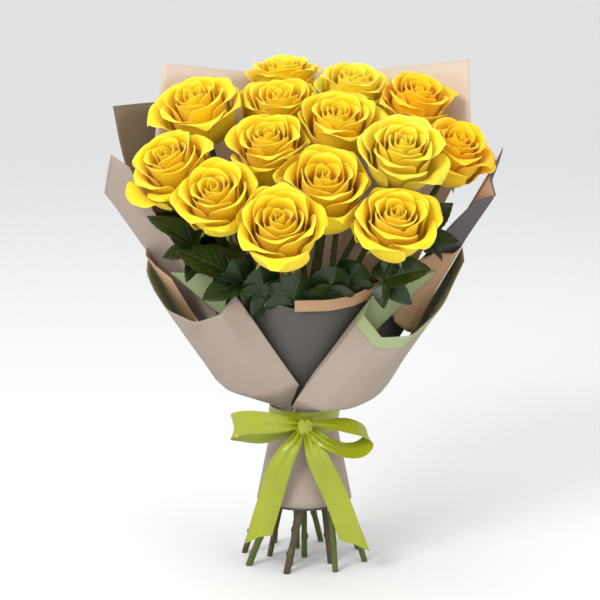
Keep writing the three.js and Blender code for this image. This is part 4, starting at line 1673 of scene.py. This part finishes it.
# ---- the bouquet ---------------------------------------------------------------------------------
@dataclass
class Bouquet:
    """The whole bouquet, piece by piece."""

    blooms: int = 14
    leaves: int = 10
    tones: dict[int, RoseTone] = field(default_factory=lambda: {
        6: RoseTone.LEMON, 9: RoseTone.GOLDEN, 12: RoseTone.LEMON, 13: RoseTone.GOLDEN,
    })
    height_share: float = 0.83
    greatest_nod: float = 30.0
    contact_reach: float = 0.6

    def stem_lines(self) -> list[StemLine]:
        """Returns the measured line of every stem."""
        return [StemLine.measure(f"rose_stem_{index + 1:02d}") for index in range(self.blooms)]

    def make_blooms(self, lines: Sequence[StemLine]) -> list[Bloom]:
        """Sets each bloom on its stem, along the solid bloom that it stands for.

        Args:
            lines: The stems' lines.

        Returns:
            The blooms, not yet built.
        """
        made = []
        for index, line in enumerate(lines):
            points = node_points(f"rose_head_{index + 1:02d}")
            top, growth = line.at(1.0)
            base = Vector(points[lengths(points - np.array(top)).argmin()])
            far = Vector(points[lengths(points - np.array(base)).argmax()])
            axis = (far - base).normalized()
            if axis.angle(growth) > math.radians(self.greatest_nod):
                axis = growth
            tall = max((Vector(point) - base).dot(axis) for point in points)
            made.append(Bloom(
                number=index + 1, base=base, axis=axis, diameter=tall / self.height_share,
                seed=11 + index * 7,
                openness=0.3 + 0.6 * ((index * 5) % 7) / 6.0,
                tone=self.tones.get(index + 1, RoseTone.BRIGHT),
            ))
        return made

    def neighbours_of(self, bloom: Bloom, blooms: Sequence[Bloom]) -> list[Neighbour]:
        """Finds where a bloom meets those beside it.

        Args:
            bloom: The bloom.
            blooms: All the blooms.

        Returns:
            The flats of contact.
        """
        flats = []
        for other in blooms:
            gap = other.middle - bloom.middle
            if other is bloom or gap.length > (bloom.diameter + other.diameter) * self.contact_reach:
                continue
            share = bloom.diameter / (bloom.diameter + other.diameter)
            flats.append(Neighbour(np.array(bloom.middle + gap * share), np.array(gap.normalized())))
        return flats

    def sheets(self) -> list[PaperSheet]:
        """Returns the sheets of the wrap, each with its outer and its inner paper."""
        tone = PaperTone
        return [
            PaperSheet("wrap_back_sheet", "beige_paper", tone.BACK_BEIGE, tone.BACK_BEIGE),
            PaperSheet("wrap_back_dark_sheet", "dark_paper", tone.UMBER, tone.UMBER),
            PaperSheet("wrap_left_wing", "beige_paper", tone.BEIGE, tone.KRAFT),
            PaperSheet("wrap_right_wing", "dark_paper", tone.SLATE, tone.KRAFT),
            PaperSheet("wrap_front_panel", "dark_paper", tone.TAUPE, tone.TAUPE),
            PaperSheet("wrap_folded_edge", "kraft_paper", tone.KRAFT, tone.KRAFT),
            PaperSheet("wrap_left_kraft_strip", "kraft_paper", tone.KRAFT, tone.KRAFT),
            PaperSheet("wrap_left_roll", "beige_paper", tone.BEIGE, tone.SAGE),
            PaperSheet("wrap_right_roll", "beige_paper", tone.BEIGE, tone.SAGE, cuff=13 * MM, lift=0.6 * MM),
            PaperSheet("wrap_tail", "beige_paper", tone.BEIGE, tone.TAUPE, levels=2),
            PaperSheet("wrap_tail_lining", "dark_paper", tone.TAUPE, tone.TAUPE, levels=2),
        ]

    def build(self) -> None:
        """Builds the stems, the blooms, the leaves, the wrap and the ribbon."""
        lines = self.stem_lines()
        for index, line in enumerate(lines):
            brown_share = 0.45 if index % 3 == 1 else 0.12
            Stem(line, seed=31 + index, brown_share=brown_share).build()
        blooms = self.make_blooms(lines)
        for bloom in blooms:
            bloom.build(self.neighbours_of(bloom, blooms))
            Calyx(bloom.number, bloom.base, bloom.axis, bloom.diameter, bloom.seed).build()
        for index in range(self.leaves):
            RoseLeaf(f"leaf_{index + 1:02d}", seed=index).build()
        for sheet in self.sheets():
            sheet.build()
        Bow().build()


def main() -> None:
    """Builds the bouquet and its studio."""
    logging.basicConfig(level=logging.INFO, format="%(name)s %(message)s")
    Bouquet().build()
    Studio().build()


if __name__ == "__main__":
    main()
